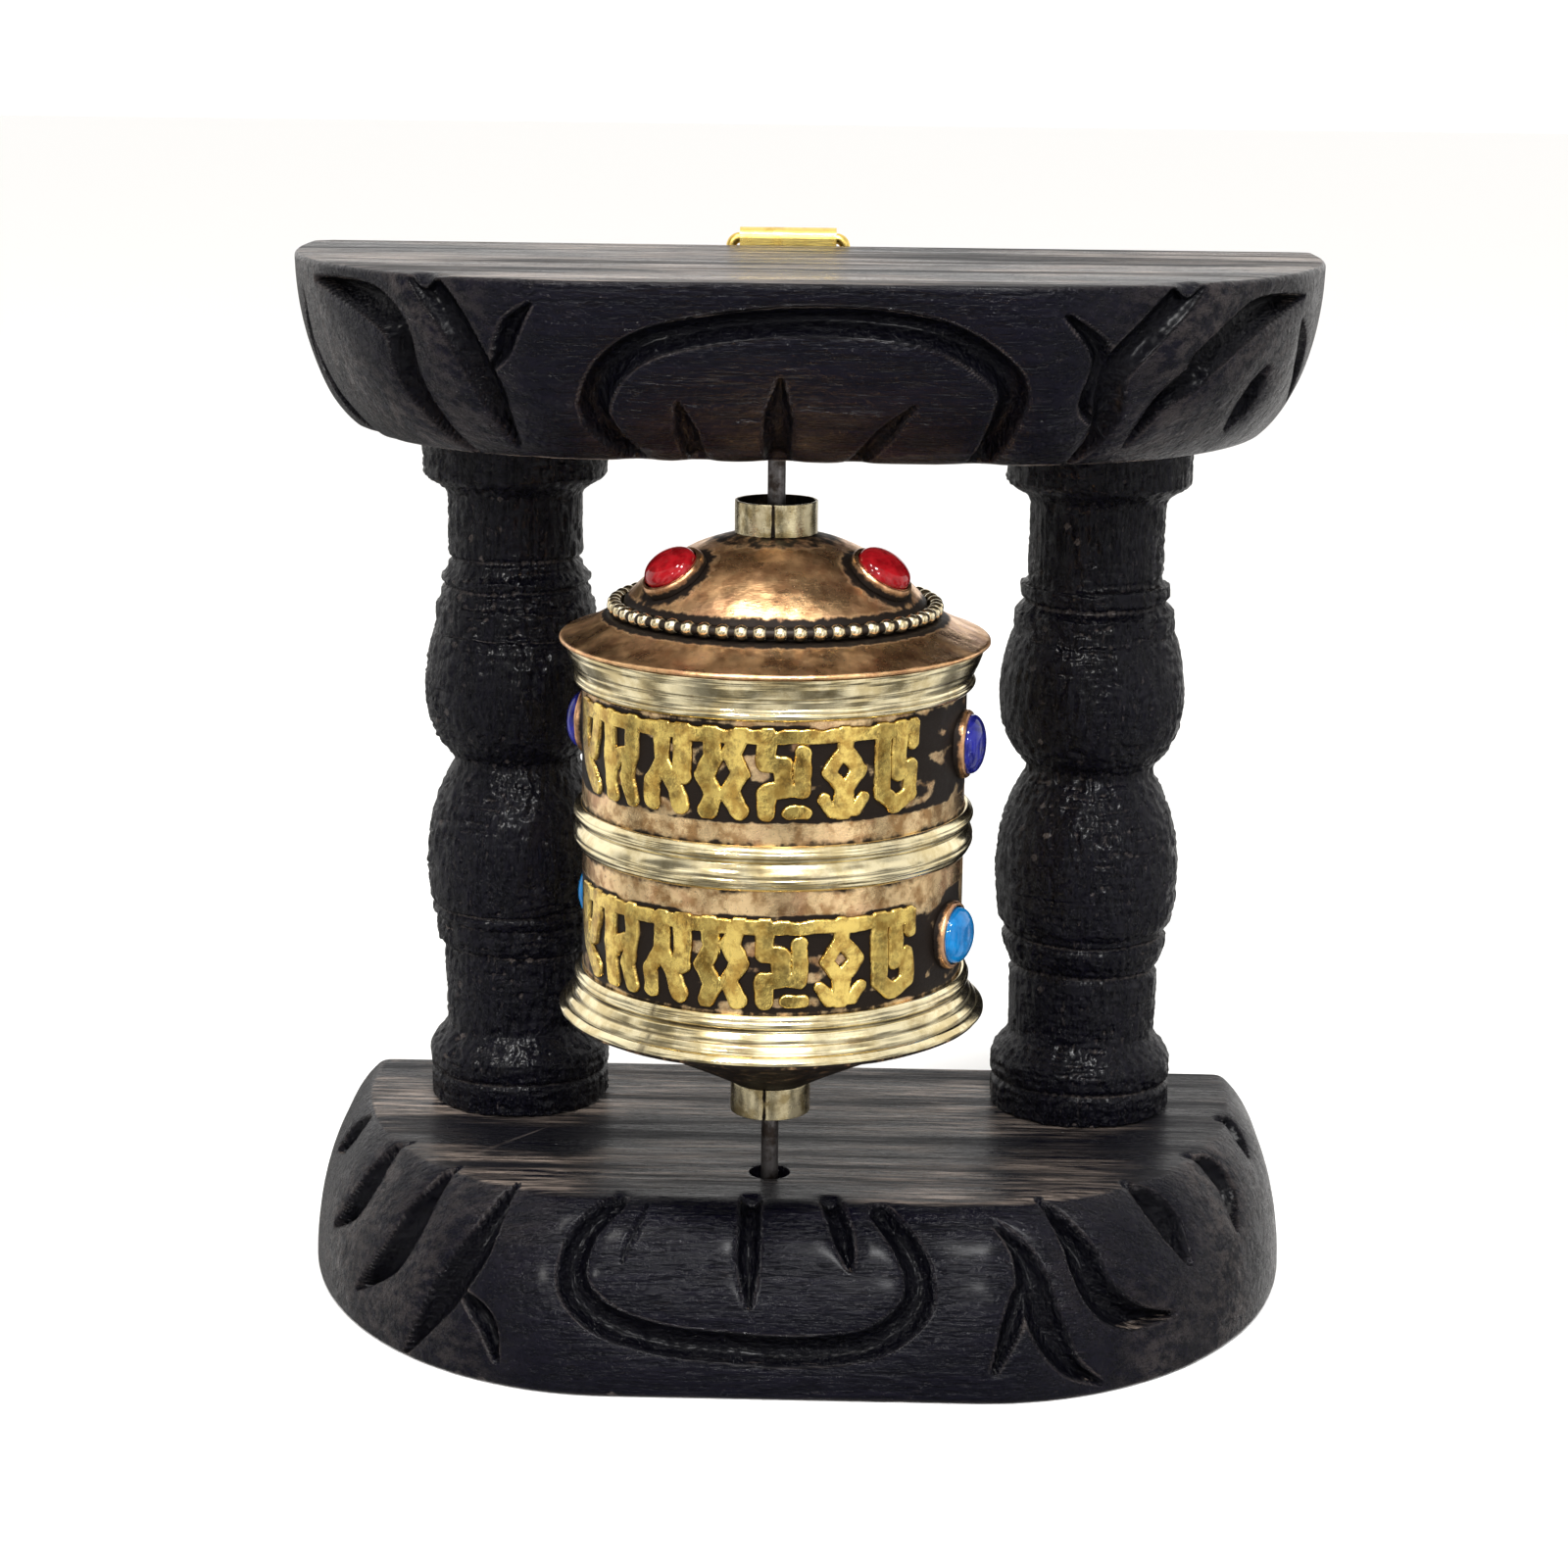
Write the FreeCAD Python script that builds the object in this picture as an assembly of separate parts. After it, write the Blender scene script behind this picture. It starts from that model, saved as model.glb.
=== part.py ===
import FreeCAD, Part
import math
import os

# Hanging prayer wheel: a copper and brass drum on a steel axle, turning between
# the two boards of a small stand of dark turned and carved wood.
#
# Frame, in millimetres: the origin is on the axle's line, at the plane of the base's
# underside. +X is to the right, +Y is to the flat back of the stand, +Z is up.
# Angles round the drum are measured from the front (-Y) towards +X.

# ---- overall sizes of the stand ----
STAND_HEIGHT = 155.0
BASE_THICKNESS = 25.0
TOP_THICKNESS = 25.0
BOARD_WIDTH = 151.0        # the outer, larger face of each board
BOARD_DEPTH = 73.5
SIDE_INSET = 8.5           # how far the inner face steps in at each end
FRONT_INSET = 13.0         # and at the front
END_ROUND_WIDTH = 50.0     # width of the rounding at each end of the front
END_STRAIGHT = 9.5         # straight stretch of each end, next to the back
AXLE_TO_FRONT = 11.2       # from the axle to the front edge of the boards' inner faces
STAND_SHIFT = 3.5          # the posts' middle lies this far to the right of the axle
SAW_ALLOWANCE = 2.0        # the boards are shaped this much too deep, then sawn flat at the back

# ---- posts ----
POST_RADIUS = 14.1
POST_END_MARGIN = 9.4      # from a post's side to the end of the boards' inner faces
POST_BACK_MARGIN = 0.3     # and from its back to the flat back
TENON_RADIUS = 6.0
TENON_LENGTH = 11.0
GLUE_GAP = 0.1
SOCKET_END_GAP = 0.5

# ---- axle and its seats ----
AXLE_RADIUS = 1.25
AXLE_TIP = 0.6             # bevel at both ends
BASE_HOLE_RADIUS = 3.0
BASE_HOLE_FLOOR = 10.0
CUP_HEIGHT = 3.0
CUP_FLOOR = 1.2
RUNNING_GAP = 0.08         # round the axle in its cup and in the top board, and under its tip
TOP_HOLE_DEPTH = 10.0
AXLE_ENTRY = 8.5           # length of axle inside the top board

# ---- drum ----
BARREL_RADIUS = 27.0
BARREL_WALL = 0.5
LOWER_GAP = 9.8            # from the base up to the lower ferrule
UPPER_GAP = 10.5           # from the top of the dome to the top board
LID_OVERHANG = 3.2         # beyond the barrel
LID_WALL = 0.6
LID_EDGE_THICKNESS = 0.8
LID_FLANGE_RISE = 3.0      # from the lid's edge up to the seat of the beaded ring
LID_STEP = 1.9             # from that seat up to the foot of the dome
LID_SHOULDER = 9.0         # from the lid's edge in to the foot of the dome
DOME_RISE = 10.0
SEAT_WIDTH = 2.4
BEAD_RADIUS = 1.15
CAP_OVERHANG = 3.0
CAP_WALL = 0.6
CAP_DEPTH = 11.6
FERRULE_RADIUS = 5.8
FERRULE_WALL = 0.45
FERRULE_HEIGHT = 4.6
SOLDER_GAP = 0.05
SCROLL_GAP = 1.2           # from the rolled paper to the metal around it
SCROLL_CORE = 0.3          # from the rolled paper to the axle

# ---- brass bands on the drum ----
CORNICE_HEIGHT = 6.0
CORNICE_FLARE = 2.4        # how far the cornice and the skirt stand out
SKIRT_HEIGHT = 6.3
SKIRT_FLARE = 3.4
BAND_THICKNESS = 0.45
MIDDLE_BAND_HEIGHT = 6.4
MIDDLE_BAND_RIDGE = 1.3

# ---- pierced fret strips, which share the height that the bands leave ----
FRET_MARGIN = 0.6          # bare copper beside the cornice and the skirt
PLAIN_BELOW_BAND = 3.6     # and below and above the middle band
PLAIN_ABOVE_BAND = 3.2
FRET_THICKNESS = 0.5
FRET_BAR = 2.0
FRET_STEMS = 9
STRIPS_PER_ROW = 2
STRIP_SPAN = 122.0         # degrees of the drum that one strip covers
STRIP_MIDDLE = 167.0       # degrees from +X to the middle of the first strip of each row

# ---- stones ----
STONE_RADIUS = 4.2
STONE_RISE = 2.9
BEZEL_WALL = 0.7
BEZEL_HEIGHT = 1.5
BEZEL_FLOOR = 0.35
STONE_GAP = 0.03
CORAL_COUNT = 3
CORAL_ANGLE = 63.0
CORAL_MARGIN = 5.0         # from the dome's foot in to the middle of each coral
LAPIS_COUNT = 2
LAPIS_ANGLE = 77.0
TURQUOISE_COUNT = 2
TURQUOISE_ANGLE = 67.0

# ---- hanger ----
STRAP_WIDTH = 14.6
STRAP_LENGTH = 13.5
SHEET = 0.7
RING_WIRE_RADIUS = 0.8
RING_DROP = 25.0           # from the strap's eye to the far side of the ring's wire
RING_SLACK = 0.5           # beside the strap, and round the wire in the eye
EYE_GAP = 0.12
EYE_RISE = 1.0             # the eye's middle above the top board
SCREW_RADIUS = 1.2
SCREW_HEAD_RADIUS = 2.3
SCREW_HEAD_HEIGHT = 1.0
SCREW_LENGTH = 8.0
SCREW_SPACING = 6.5
SCREW_HOLE_GAP = 0.05

# ---- heights and places that follow from the sizes above ----
BACK_Y = BOARD_DEPTH - FRONT_INSET - AXLE_TO_FRONT
TOP_UNDERSIDE = STAND_HEIGHT - TOP_THICKNESS
POST_Y = BACK_Y - POST_RADIUS - POST_BACK_MARGIN
POST_OUT = BOARD_WIDTH / 2 - SIDE_INSET - POST_END_MARGIN - POST_RADIUS
AXLE_BOTTOM = BASE_HOLE_FLOOR + CUP_FLOOR + RUNNING_GAP
DRUM_BOTTOM = BASE_THICKNESS + LOWER_GAP + FERRULE_HEIGHT + CAP_DEPTH
LID_RADIUS = BARREL_RADIUS + LID_OVERHANG
CAP_RADIUS = BARREL_RADIUS + CAP_OVERHANG
DOME_RADIUS = LID_RADIUS - LID_SHOULDER
DOME_TOP = TOP_UNDERSIDE - UPPER_GAP
SEAT_Z = DOME_TOP - DOME_RISE - LID_STEP
LID_EDGE = SEAT_Z - LID_FLANGE_RISE
CORNICE_TOP = LID_EDGE - LID_EDGE_THICKNESS - SOLDER_GAP
CORNICE_BOTTOM = CORNICE_TOP - CORNICE_HEIGHT
SKIRT_TOP = DRUM_BOTTOM + SKIRT_HEIGHT
TAKEN = 2 * FRET_MARGIN + PLAIN_BELOW_BAND + MIDDLE_BAND_HEIGHT + PLAIN_ABOVE_BAND
FRET_HEIGHT = (CORNICE_BOTTOM - SKIRT_TOP - TAKEN) / 2
LOWER_FRET_MIDDLE = SKIRT_TOP + FRET_MARGIN + FRET_HEIGHT / 2
MIDDLE_BAND_BOTTOM = LOWER_FRET_MIDDLE + FRET_HEIGHT / 2 + PLAIN_BELOW_BAND
UPPER_FRET_MIDDLE = CORNICE_BOTTOM - FRET_MARGIN - FRET_HEIGHT / 2
CORAL_OUT = DOME_RADIUS - CORAL_MARGIN
DOME_SPHERE = (DOME_RADIUS ** 2 + DOME_RISE ** 2) / (2 * DOME_RISE)
RING_SEAT_MIDDLE = DOME_RADIUS + SEAT_WIDTH / 2
EYE_OUTER = RING_WIRE_RADIUS + EYE_GAP + SHEET
EYE_Y = BACK_Y + EYE_OUTER
EYE_Z = STAND_HEIGHT + EYE_RISE
UP = FreeCAD.Vector(0, 0, 1)
FORWARD = FreeCAD.Vector(1, 0, 0)
BACKWARD = FreeCAD.Vector(0, 1, 0)


def save(name, shape):
    shape.exportStep(os.path.join("parts", name + ".step"))


def at(x, y, z):
    return FreeCAD.Vector(x, y, z)


def tube(radius, height, z, hole=0.0):
    """An upright cylinder, bored through when a hole radius is given."""
    body = Part.makeCylinder(radius, height, at(0, 0, z))
    if hole > 0:
        body = body.cut(Part.makeCylinder(hole, height, at(0, 0, z)))
    return body


def lathe(*runs):
    """Turn a closed outline about the upright axis.

    Each run is a list of (radius, height) points. A plain list is joined by straight
    lines, one that begins with "curve" is a smooth line through its points, and one that
    begins with "arc" is a circle's arc through its three points. The runs follow each
    other, and straight lines close the outline.
    """
    edges = []
    first = None
    last = None
    for run in runs:
        kind = run[0] if isinstance(run[0], str) else "lines"
        points = [at(point[0], 0, point[1]) for point in run if not isinstance(point, str)]
        if last is not None and (points[0] - last).Length > 1e-7:
            edges.append(Part.makeLine(last, points[0]))
        if kind == "curve":
            spline = Part.BSplineCurve()
            spline.interpolate(points)
            edges.append(spline.toShape())
        elif kind == "arc":
            edges.append(Part.Arc(*points).toShape())
        else:
            for start, end in zip(points, points[1:]):
                edges.append(Part.makeLine(start, end))
        first = first or points[0]
        last = points[-1]
    edges.append(Part.makeLine(last, first))
    face = Part.Face(Part.Wire(edges))
    return face.revolve(at(0, 0, 0), UP, 360)


def around(shape, angle):
    """Carry a shape made on the +X side of the drum to an angle from its front."""
    turned = shape.copy()
    turned.rotate(at(0, 0, 0), UP, angle - 90)
    return turned


# ---------------------------------------------------------------- stand: boards

def board_outline(level, inset_share):
    """One level of a board: flat back, straight front and ends rounded as quarter ellipses."""
    half = BOARD_WIDTH / 2 - SIDE_INSET * inset_share
    front = BACK_Y - BOARD_DEPTH + FRONT_INSET * inset_share
    round_start = BACK_Y - END_STRAIGHT
    straight_half = BOARD_WIDTH / 2 - END_ROUND_WIDTH
    width = half - straight_half
    depth = round_start - front

    def corner(sign):
        points = []
        steps = 6
        for step in range(steps + 1):
            turn = math.pi / 2 * step / steps
            x = STAND_SHIFT + sign * (straight_half + width * math.cos(turn))
            y = round_start - depth * math.sin(turn)
            points.append(at(x, y, level))
        spline = Part.BSplineCurve()
        start_way = at(0, -1, 0)
        end_way = at(-sign, 0, 0)
        spline.interpolate(Points=points, InitialTangent=start_way, FinalTangent=end_way)
        return points, spline.toShape()

    right_points, right = corner(1)
    left_points, left = corner(-1)
    back_right = at(STAND_SHIFT + half, BACK_Y + SAW_ALLOWANCE, level)
    back_left = at(STAND_SHIFT - half, BACK_Y + SAW_ALLOWANCE, level)
    left.reverse()
    return Part.Wire([
        Part.makeLine(back_right, right_points[0]),
        right,
        Part.makeLine(right_points[-1], left_points[-1]),
        left,
        Part.makeLine(left_points[0], back_left),
        Part.makeLine(back_left, back_right),
    ])


def carved_board(outer_z, inner_z):
    """A bowl-sided board: upright at its large outer face, curving in to the smaller one."""
    levels = 5
    most = 0.94                       # the curve stops short of level, which leaves a crisp edge
    full = 1 - math.sqrt(1 - most ** 2)
    wires = []
    for step in range(levels + 1):
        share = step / levels
        inset = (1 - math.sqrt(1 - (most * share) ** 2)) / full
        wires.append(board_outline(outer_z + (inner_z - outer_z) * share, inset))
    low = min(outer_z, inner_z)
    sawn_off = Part.makeBox(2 * BOARD_WIDTH, 2 * SAW_ALLOWANCE, abs(outer_z - inner_z),
                            at(STAND_SHIFT - BOARD_WIDTH, BACK_Y, low))
    return Part.makeLoft(wires, True, False).cut(sawn_off)


def post_places():
    return {"left_post": STAND_SHIFT - POST_OUT, "right_post": STAND_SHIFT + POST_OUT}


def cut_sockets(board, face_z, way):
    """Blind round sockets for the posts' tenons."""
    depth = TENON_LENGTH + SOCKET_END_GAP
    start = face_z if way > 0 else face_z - depth
    for x in post_places().values():
        board = board.cut(Part.makeCylinder(TENON_RADIUS + GLUE_GAP, depth, at(x, POST_Y, start)))
    return board


def base_board():
    board = carved_board(0, BASE_THICKNESS)
    board = cut_sockets(board, BASE_THICKNESS, -1)
    depth = BASE_THICKNESS - BASE_HOLE_FLOOR
    return board.cut(tube(BASE_HOLE_RADIUS, depth, BASE_HOLE_FLOOR))


def screw_heights():
    first = STAND_HEIGHT - (STRAP_LENGTH - SCREW_SPACING) / 2
    return [first, first - SCREW_SPACING]


def top_board():
    board = carved_board(STAND_HEIGHT, TOP_UNDERSIDE)
    board = cut_sockets(board, TOP_UNDERSIDE, 1)
    board = board.cut(tube(AXLE_RADIUS + RUNNING_GAP, TOP_HOLE_DEPTH, TOP_UNDERSIDE))
    for z in screw_heights():
        board = board.cut(screw_shape(z, SCREW_HOLE_GAP))
    return board


# ---------------------------------------------------------------- stand: posts

def post(x):
    """A turned post: foot, lower neck, ring, two bulges with a waist, rings, neck, capital."""
    foot_height = 8.5
    foot_slope = 3.5
    lower_ring = 6.0
    lower_bulge = 24.0
    upper_bulge = 20.5
    ring_height = 4.2
    capital_slope = 3.2
    capital_height = 8.0
    fixed = foot_height + foot_slope + lower_ring + lower_bulge
    fixed += upper_bulge + 2 * ring_height + capital_slope + capital_height
    neck = (TOP_UNDERSIDE - BASE_THICKNESS - fixed) / 2

    lower_neck_radius = POST_RADIUS - 2.8
    upper_neck_radius = POST_RADIUS - 3.8
    waist_radius = POST_RADIUS - 4.3
    ring_radius = POST_RADIUS - 1.5
    small_ring_radius = POST_RADIUS - 2.7
    shoulder = 0.8

    z0 = BASE_THICKNESS
    z1 = z0 + foot_height
    z2 = z1 + foot_slope
    z3 = z2 + neck
    z4 = z3 + lower_ring
    z5 = z4 + lower_bulge
    z6 = z5 + upper_bulge
    z7 = z6 + ring_height
    z8 = z7 + ring_height
    z9 = z8 + neck
    z10 = z9 + capital_slope
    z11 = TOP_UNDERSIDE

    turned = lathe(
        [(0, z0 - TENON_LENGTH), (TENON_RADIUS, z0 - TENON_LENGTH), (TENON_RADIUS, z0)],
        [(POST_RADIUS - 0.3, z0), (POST_RADIUS - 0.1, z1 - shoulder)],
        ["curve", (POST_RADIUS - 0.1, z1 - shoulder), (POST_RADIUS - 0.7, z1 + 0.7),
         (lower_neck_radius + 0.5, z2 - 0.8), (lower_neck_radius, z2)],
        [(lower_neck_radius, z2), (lower_neck_radius + 0.3, z3)],
        ["curve", (lower_neck_radius + 0.3, z3), (ring_radius - 0.3, z3 + 1.6),
         (ring_radius + 0.1, z3 + 3.2), (ring_radius, z4 - 0.6)],
        [(ring_radius, z4 - 0.6), (ring_radius + 0.7, z4 + 0.3)],
        ["curve", (ring_radius + 0.7, z4 + 0.3), (POST_RADIUS, z4 + lower_bulge * 0.36),
         (POST_RADIUS - 1.1, z4 + lower_bulge * 0.68), (waist_radius, z5 - 0.5)],
        [(waist_radius, z5 - 0.5), (waist_radius, z5 + 0.5)],
        ["curve", (waist_radius, z5 + 0.5), (POST_RADIUS - 1.1, z5 + upper_bulge * 0.24),
         (POST_RADIUS, z5 + upper_bulge * 0.56), (ring_radius + 0.1, z6 - 0.4)],
        [(ring_radius + 0.1, z6 - 0.4), (ring_radius - 0.4, z6 + 0.3)],
        [(ring_radius - 0.4, z7 - 0.6), (small_ring_radius, z7 + 0.3)],
        [(small_ring_radius, z8 - 0.6), (upper_neck_radius, z8 + 0.6)],
        [(upper_neck_radius, z8 + 0.6), (upper_neck_radius, z9)],
        ["curve", (upper_neck_radius, z9), (upper_neck_radius + 0.5, z9 + 0.9),
         (POST_RADIUS - 0.9, z10 - 0.8), (POST_RADIUS - 0.2, z10)],
        [(POST_RADIUS - 0.2, z10), (POST_RADIUS, z11)],
        [(TENON_RADIUS, z11), (TENON_RADIUS, z11 + TENON_LENGTH), (0, z11 + TENON_LENGTH)],
    )
    turned.translate(at(x, POST_Y, 0))
    return turned


# ---------------------------------------------------------------- axle and its seat

def pivot_cup():
    """Steel cup at the bottom of the base's hole, in which the axle's lower tip turns."""
    cup = tube(BASE_HOLE_RADIUS - GLUE_GAP, CUP_HEIGHT, BASE_HOLE_FLOOR)
    return cup.cut(tube(AXLE_RADIUS + RUNNING_GAP, CUP_HEIGHT, BASE_HOLE_FLOOR + CUP_FLOOR))


def axle():
    top = TOP_UNDERSIDE + AXLE_ENTRY
    tip = AXLE_RADIUS - AXLE_TIP
    return lathe([
        (0, AXLE_BOTTOM), (tip, AXLE_BOTTOM), (AXLE_RADIUS, AXLE_BOTTOM + AXLE_TIP),
        (AXLE_RADIUS, top - AXLE_TIP), (tip, top), (0, top),
    ])


# ---------------------------------------------------------------- drum: shells

def dome_point(radius, wall=0.0):
    """A point of the dome's outer face, or of the face that lies a wall's thickness inside it."""
    centre = DOME_TOP - DOME_SPHERE
    return radius, centre + math.sqrt((DOME_SPHERE - wall) ** 2 - radius ** 2)


def lid():
    """Raised copper lid: dome, seat of the beaded ring and sloping flange with a thick edge."""
    seat_out = DOME_RADIUS + SEAT_WIDTH
    middle = (seat_out + LID_RADIUS) / 2
    sag = 0.25
    flange_z = (SEAT_Z + LID_EDGE) / 2 - sag
    lid_low = LID_EDGE - LID_EDGE_THICKNESS
    inner_foot = DOME_RADIUS - LID_WALL
    half = DOME_RADIUS / 2
    return lathe(
        ["arc", dome_point(AXLE_RADIUS), dome_point(half), dome_point(DOME_RADIUS)],
        [(DOME_RADIUS, SEAT_Z), (seat_out, SEAT_Z)],
        ["curve", (seat_out, SEAT_Z), (middle, flange_z), (LID_RADIUS - 0.3, LID_EDGE + 0.1)],
        [(LID_RADIUS, LID_EDGE - 0.2), (LID_RADIUS, lid_low + 0.2), (LID_RADIUS - 0.3, lid_low)],
        ["curve", (LID_RADIUS - 0.3, lid_low), (middle, flange_z - LID_WALL),
         (seat_out, SEAT_Z - LID_WALL)],
        [(seat_out, SEAT_Z - LID_WALL), (inner_foot, SEAT_Z - LID_WALL)],
        ["arc", dome_point(inner_foot, LID_WALL), dome_point(half, LID_WALL),
         dome_point(AXLE_RADIUS, LID_WALL)],
    )


def beaded_ring():
    return Part.makeTorus(RING_SEAT_MIDDLE, BEAD_RADIUS, at(0, 0, SEAT_Z + BEAD_RADIUS))


def cap_depth_at(radius):
    """How far the lower cap's inner face lies below its flange."""
    share = (radius - FERRULE_RADIUS) / (CAP_RADIUS - 0.7 - FERRULE_RADIUS)
    return (CAP_DEPTH - CAP_WALL) * (1 - share) ** 1.15


def bottom_cap():
    """Copper cap that closes the drum below, a shallow funnel down to the axle."""
    lip = CAP_RADIUS - 0.7
    steps = 4
    radii = [FERRULE_RADIUS + (lip - FERRULE_RADIUS) * step / steps for step in range(steps + 1)]
    inner = [(r, DRUM_BOTTOM - cap_depth_at(r)) for r in radii]
    outer = [(r, z - CAP_WALL) for r, z in reversed(inner)]
    floor = DRUM_BOTTOM - CAP_DEPTH + CAP_WALL
    return lathe(
        [(AXLE_RADIUS, floor), (FERRULE_RADIUS, floor)],
        ["curve"] + inner,
        [(CAP_RADIUS, DRUM_BOTTOM), (CAP_RADIUS, DRUM_BOTTOM - CAP_WALL)],
        ["curve"] + outer,
        [(FERRULE_RADIUS, floor - CAP_WALL), (AXLE_RADIUS, floor - CAP_WALL)],
    )


def lid_under(radius):
    """Height of the lid's under face over the barrel's edge."""
    seat_out = DOME_RADIUS + SEAT_WIDTH
    share = (radius - seat_out) / (LID_RADIUS - seat_out)
    return SEAT_Z - (SEAT_Z - LID_EDGE) * share - LID_WALL


def barrel():
    top = lid_under(BARREL_RADIUS) - LID_WALL
    return tube(BARREL_RADIUS, top - DRUM_BOTTOM, DRUM_BOTTOM, BARREL_RADIUS - BARREL_WALL)


def upper_ferrule():
    """Open brass collar soldered on the dome round the axle."""
    low = dome_point(FERRULE_RADIUS)[1]
    collar = tube(FERRULE_RADIUS, FERRULE_HEIGHT, low, FERRULE_RADIUS - FERRULE_WALL)
    return collar.cut(Part.makeSphere(DOME_SPHERE, at(0, 0, DOME_TOP - DOME_SPHERE)))


def lower_ferrule():
    high = DRUM_BOTTOM - CAP_DEPTH
    return tube(FERRULE_RADIUS, FERRULE_HEIGHT, high - FERRULE_HEIGHT, FERRULE_RADIUS - FERRULE_WALL)


def mantra_scroll():
    """Roll of paper that fills the drum, wound round the axle."""
    low = DRUM_BOTTOM + SCROLL_GAP
    high = LID_EDGE - SCROLL_GAP
    radius = BARREL_RADIUS - BARREL_WALL - SCROLL_GAP
    return tube(radius, high - low, low, AXLE_RADIUS + SCROLL_CORE)


# ---------------------------------------------------------------- drum: brass bands

def cornice():
    """Spun brass band under the lid: a flare, a groove and a roll."""
    r = BARREL_RADIUS
    top = CORNICE_TOP
    low = CORNICE_BOTTOM
    return lathe(
        [(r, low), (r + BAND_THICKNESS, low)],
        ["curve", (r + BAND_THICKNESS, low), (r + 1.2, low + 0.8), (r + 0.8, low + 1.8)],
        ["curve", (r + 0.8, low + 1.8), (r + 1.5, low + 3.2), (r + CORNICE_FLARE, top - 0.3)],
        [(r + CORNICE_FLARE, top), (r, top)],
    )


def middle_band():
    """Spun brass band between the fret strips: a thin ridge above a fat one."""
    r = BARREL_RADIUS
    low = MIDDLE_BAND_BOTTOM
    top = low + MIDDLE_BAND_HEIGHT
    return lathe(
        [(r, low), (r + BAND_THICKNESS, low)],
        ["curve", (r + BAND_THICKNESS, low), (r + MIDDLE_BAND_RIDGE, low + 1.7),
         (r + BAND_THICKNESS, low + MIDDLE_BAND_HEIGHT * 0.6)],
        ["curve", (r + BAND_THICKNESS, low + MIDDLE_BAND_HEIGHT * 0.6),
         (r + MIDDLE_BAND_RIDGE, top - 1.1), (r + BAND_THICKNESS, top)],
        [(r, top)],
    )


def skirt():
    """Spun brass skirt at the drum's foot: a roll above a wide flare."""
    r = BARREL_RADIUS
    low = DRUM_BOTTOM
    top = SKIRT_TOP
    return lathe(
        [(r, low), (r + SKIRT_FLARE, low), (r + SKIRT_FLARE, low + 0.5)],
        ["curve", (r + SKIRT_FLARE, low + 0.5), (r + 1.9, low + 2.2), (r + 0.9, low + 4.2)],
        ["curve", (r + 0.9, low + 4.2), (r + 1.2, low + 5.2), (r + BAND_THICKNESS, top)],
        [(r, top)],
    )


# ---------------------------------------------------------------- drum: fret strips

def plate(angle_from, angle_to, z_from, z_to):
    """A piece of sheet bent round the barrel, between two angles and two heights."""
    span = angle_to - angle_from
    outer = Part.makeCylinder(BARREL_RADIUS + FRET_THICKNESS, z_to - z_from, at(0, 0, z_from), UP, span)
    inner = Part.makeCylinder(BARREL_RADIUS, z_to - z_from, at(0, 0, z_from), UP, 360)
    return around(outer.cut(inner), angle_from)


def fret_strip(middle_angle, middle_z):
    """A pierced strip: head bar and foot pieces joined by stems, with hooks between them."""
    start = middle_angle - STRIP_SPAN / 2
    pitch = STRIP_SPAN / FRET_STEMS
    low = middle_z - FRET_HEIGHT / 2
    high = middle_z + FRET_HEIGHT / 2
    stem = 0.3 * pitch
    pieces = []
    for number in range(FRET_STEMS):
        left = start + number * pitch
        foot_high = low + FRET_BAR
        hook_z = middle_z + (0.5 if number % 2 else -0.5) * FRET_BAR
        pieces.append(plate(left, left + stem, low, high - FRET_BAR / 2))
        pieces.append(plate(left + stem / 2, left + 0.75 * pitch, low, foot_high))
        pieces.append(plate(left + stem / 2, left + 0.65 * pitch, hook_z, hook_z + FRET_BAR))
    bar = plate(start, start + STRIP_SPAN, high - FRET_BAR, high)
    return bar.multiFuse(pieces).removeSplitter()


# ---------------------------------------------------------------- drum: stones

def cabochon(floor):
    """A domed stone lying along +X, its flat back at the given distance from the axle."""
    girdle = BEZEL_HEIGHT - BEZEL_FLOOR
    sphere = (STONE_RADIUS ** 2 + (STONE_RISE - girdle) ** 2) / (2 * (STONE_RISE - girdle))
    body = Part.makeCylinder(STONE_RADIUS, STONE_RISE, at(floor, 0, 0), FORWARD)
    return body.common(Part.makeSphere(sphere, at(floor + STONE_RISE - sphere, 0, 0)))


def bezel(surface, backing):
    """A copper cup lying along +X, with its back shaped to the surface that it stands on."""
    sink = 2.0
    cup = Part.makeCylinder(
        STONE_RADIUS + STONE_GAP + BEZEL_WALL, BEZEL_HEIGHT + sink, at(surface - sink, 0, 0), FORWARD)
    floor = surface + BEZEL_FLOOR
    pocket = Part.makeCylinder(STONE_RADIUS + STONE_GAP, BEZEL_HEIGHT, at(floor, 0, 0), FORWARD)
    return cup.cut(pocket).cut(backing)


def stones_on_barrel(label, count, first_angle, z):
    backing = Part.makeCylinder(BARREL_RADIUS, 4 * STONE_RADIUS, at(0, 0, -2 * STONE_RADIUS))
    for number in range(count):
        angle = first_angle + 360 * number / count
        stone = cabochon(BARREL_RADIUS + BEZEL_FLOOR)
        cup = bezel(BARREL_RADIUS, backing)
        for kind, shape in (("stone", stone), ("bezel", cup)):
            shape.translate(at(0, 0, z))
            save(f"{label}_{kind}_{number + 1}", around(shape, angle))


def stones_on_dome():
    lean = math.degrees(math.asin(CORAL_OUT / DOME_SPHERE))
    centre = at(0, 0, DOME_TOP - DOME_SPHERE)
    backing = Part.makeSphere(DOME_SPHERE)
    for number in range(CORAL_COUNT):
        angle = CORAL_ANGLE + 360 * number / CORAL_COUNT
        stone = cabochon(DOME_SPHERE + BEZEL_FLOOR)
        cup = bezel(DOME_SPHERE, backing)
        for kind, shape in (("stone", stone), ("bezel", cup)):
            shape.rotate(at(0, 0, 0), BACKWARD, lean - 90)
            shape.translate(centre)
            save(f"coral_{kind}_{number + 1}", around(shape, angle))


# ---------------------------------------------------------------- hanger

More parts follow.
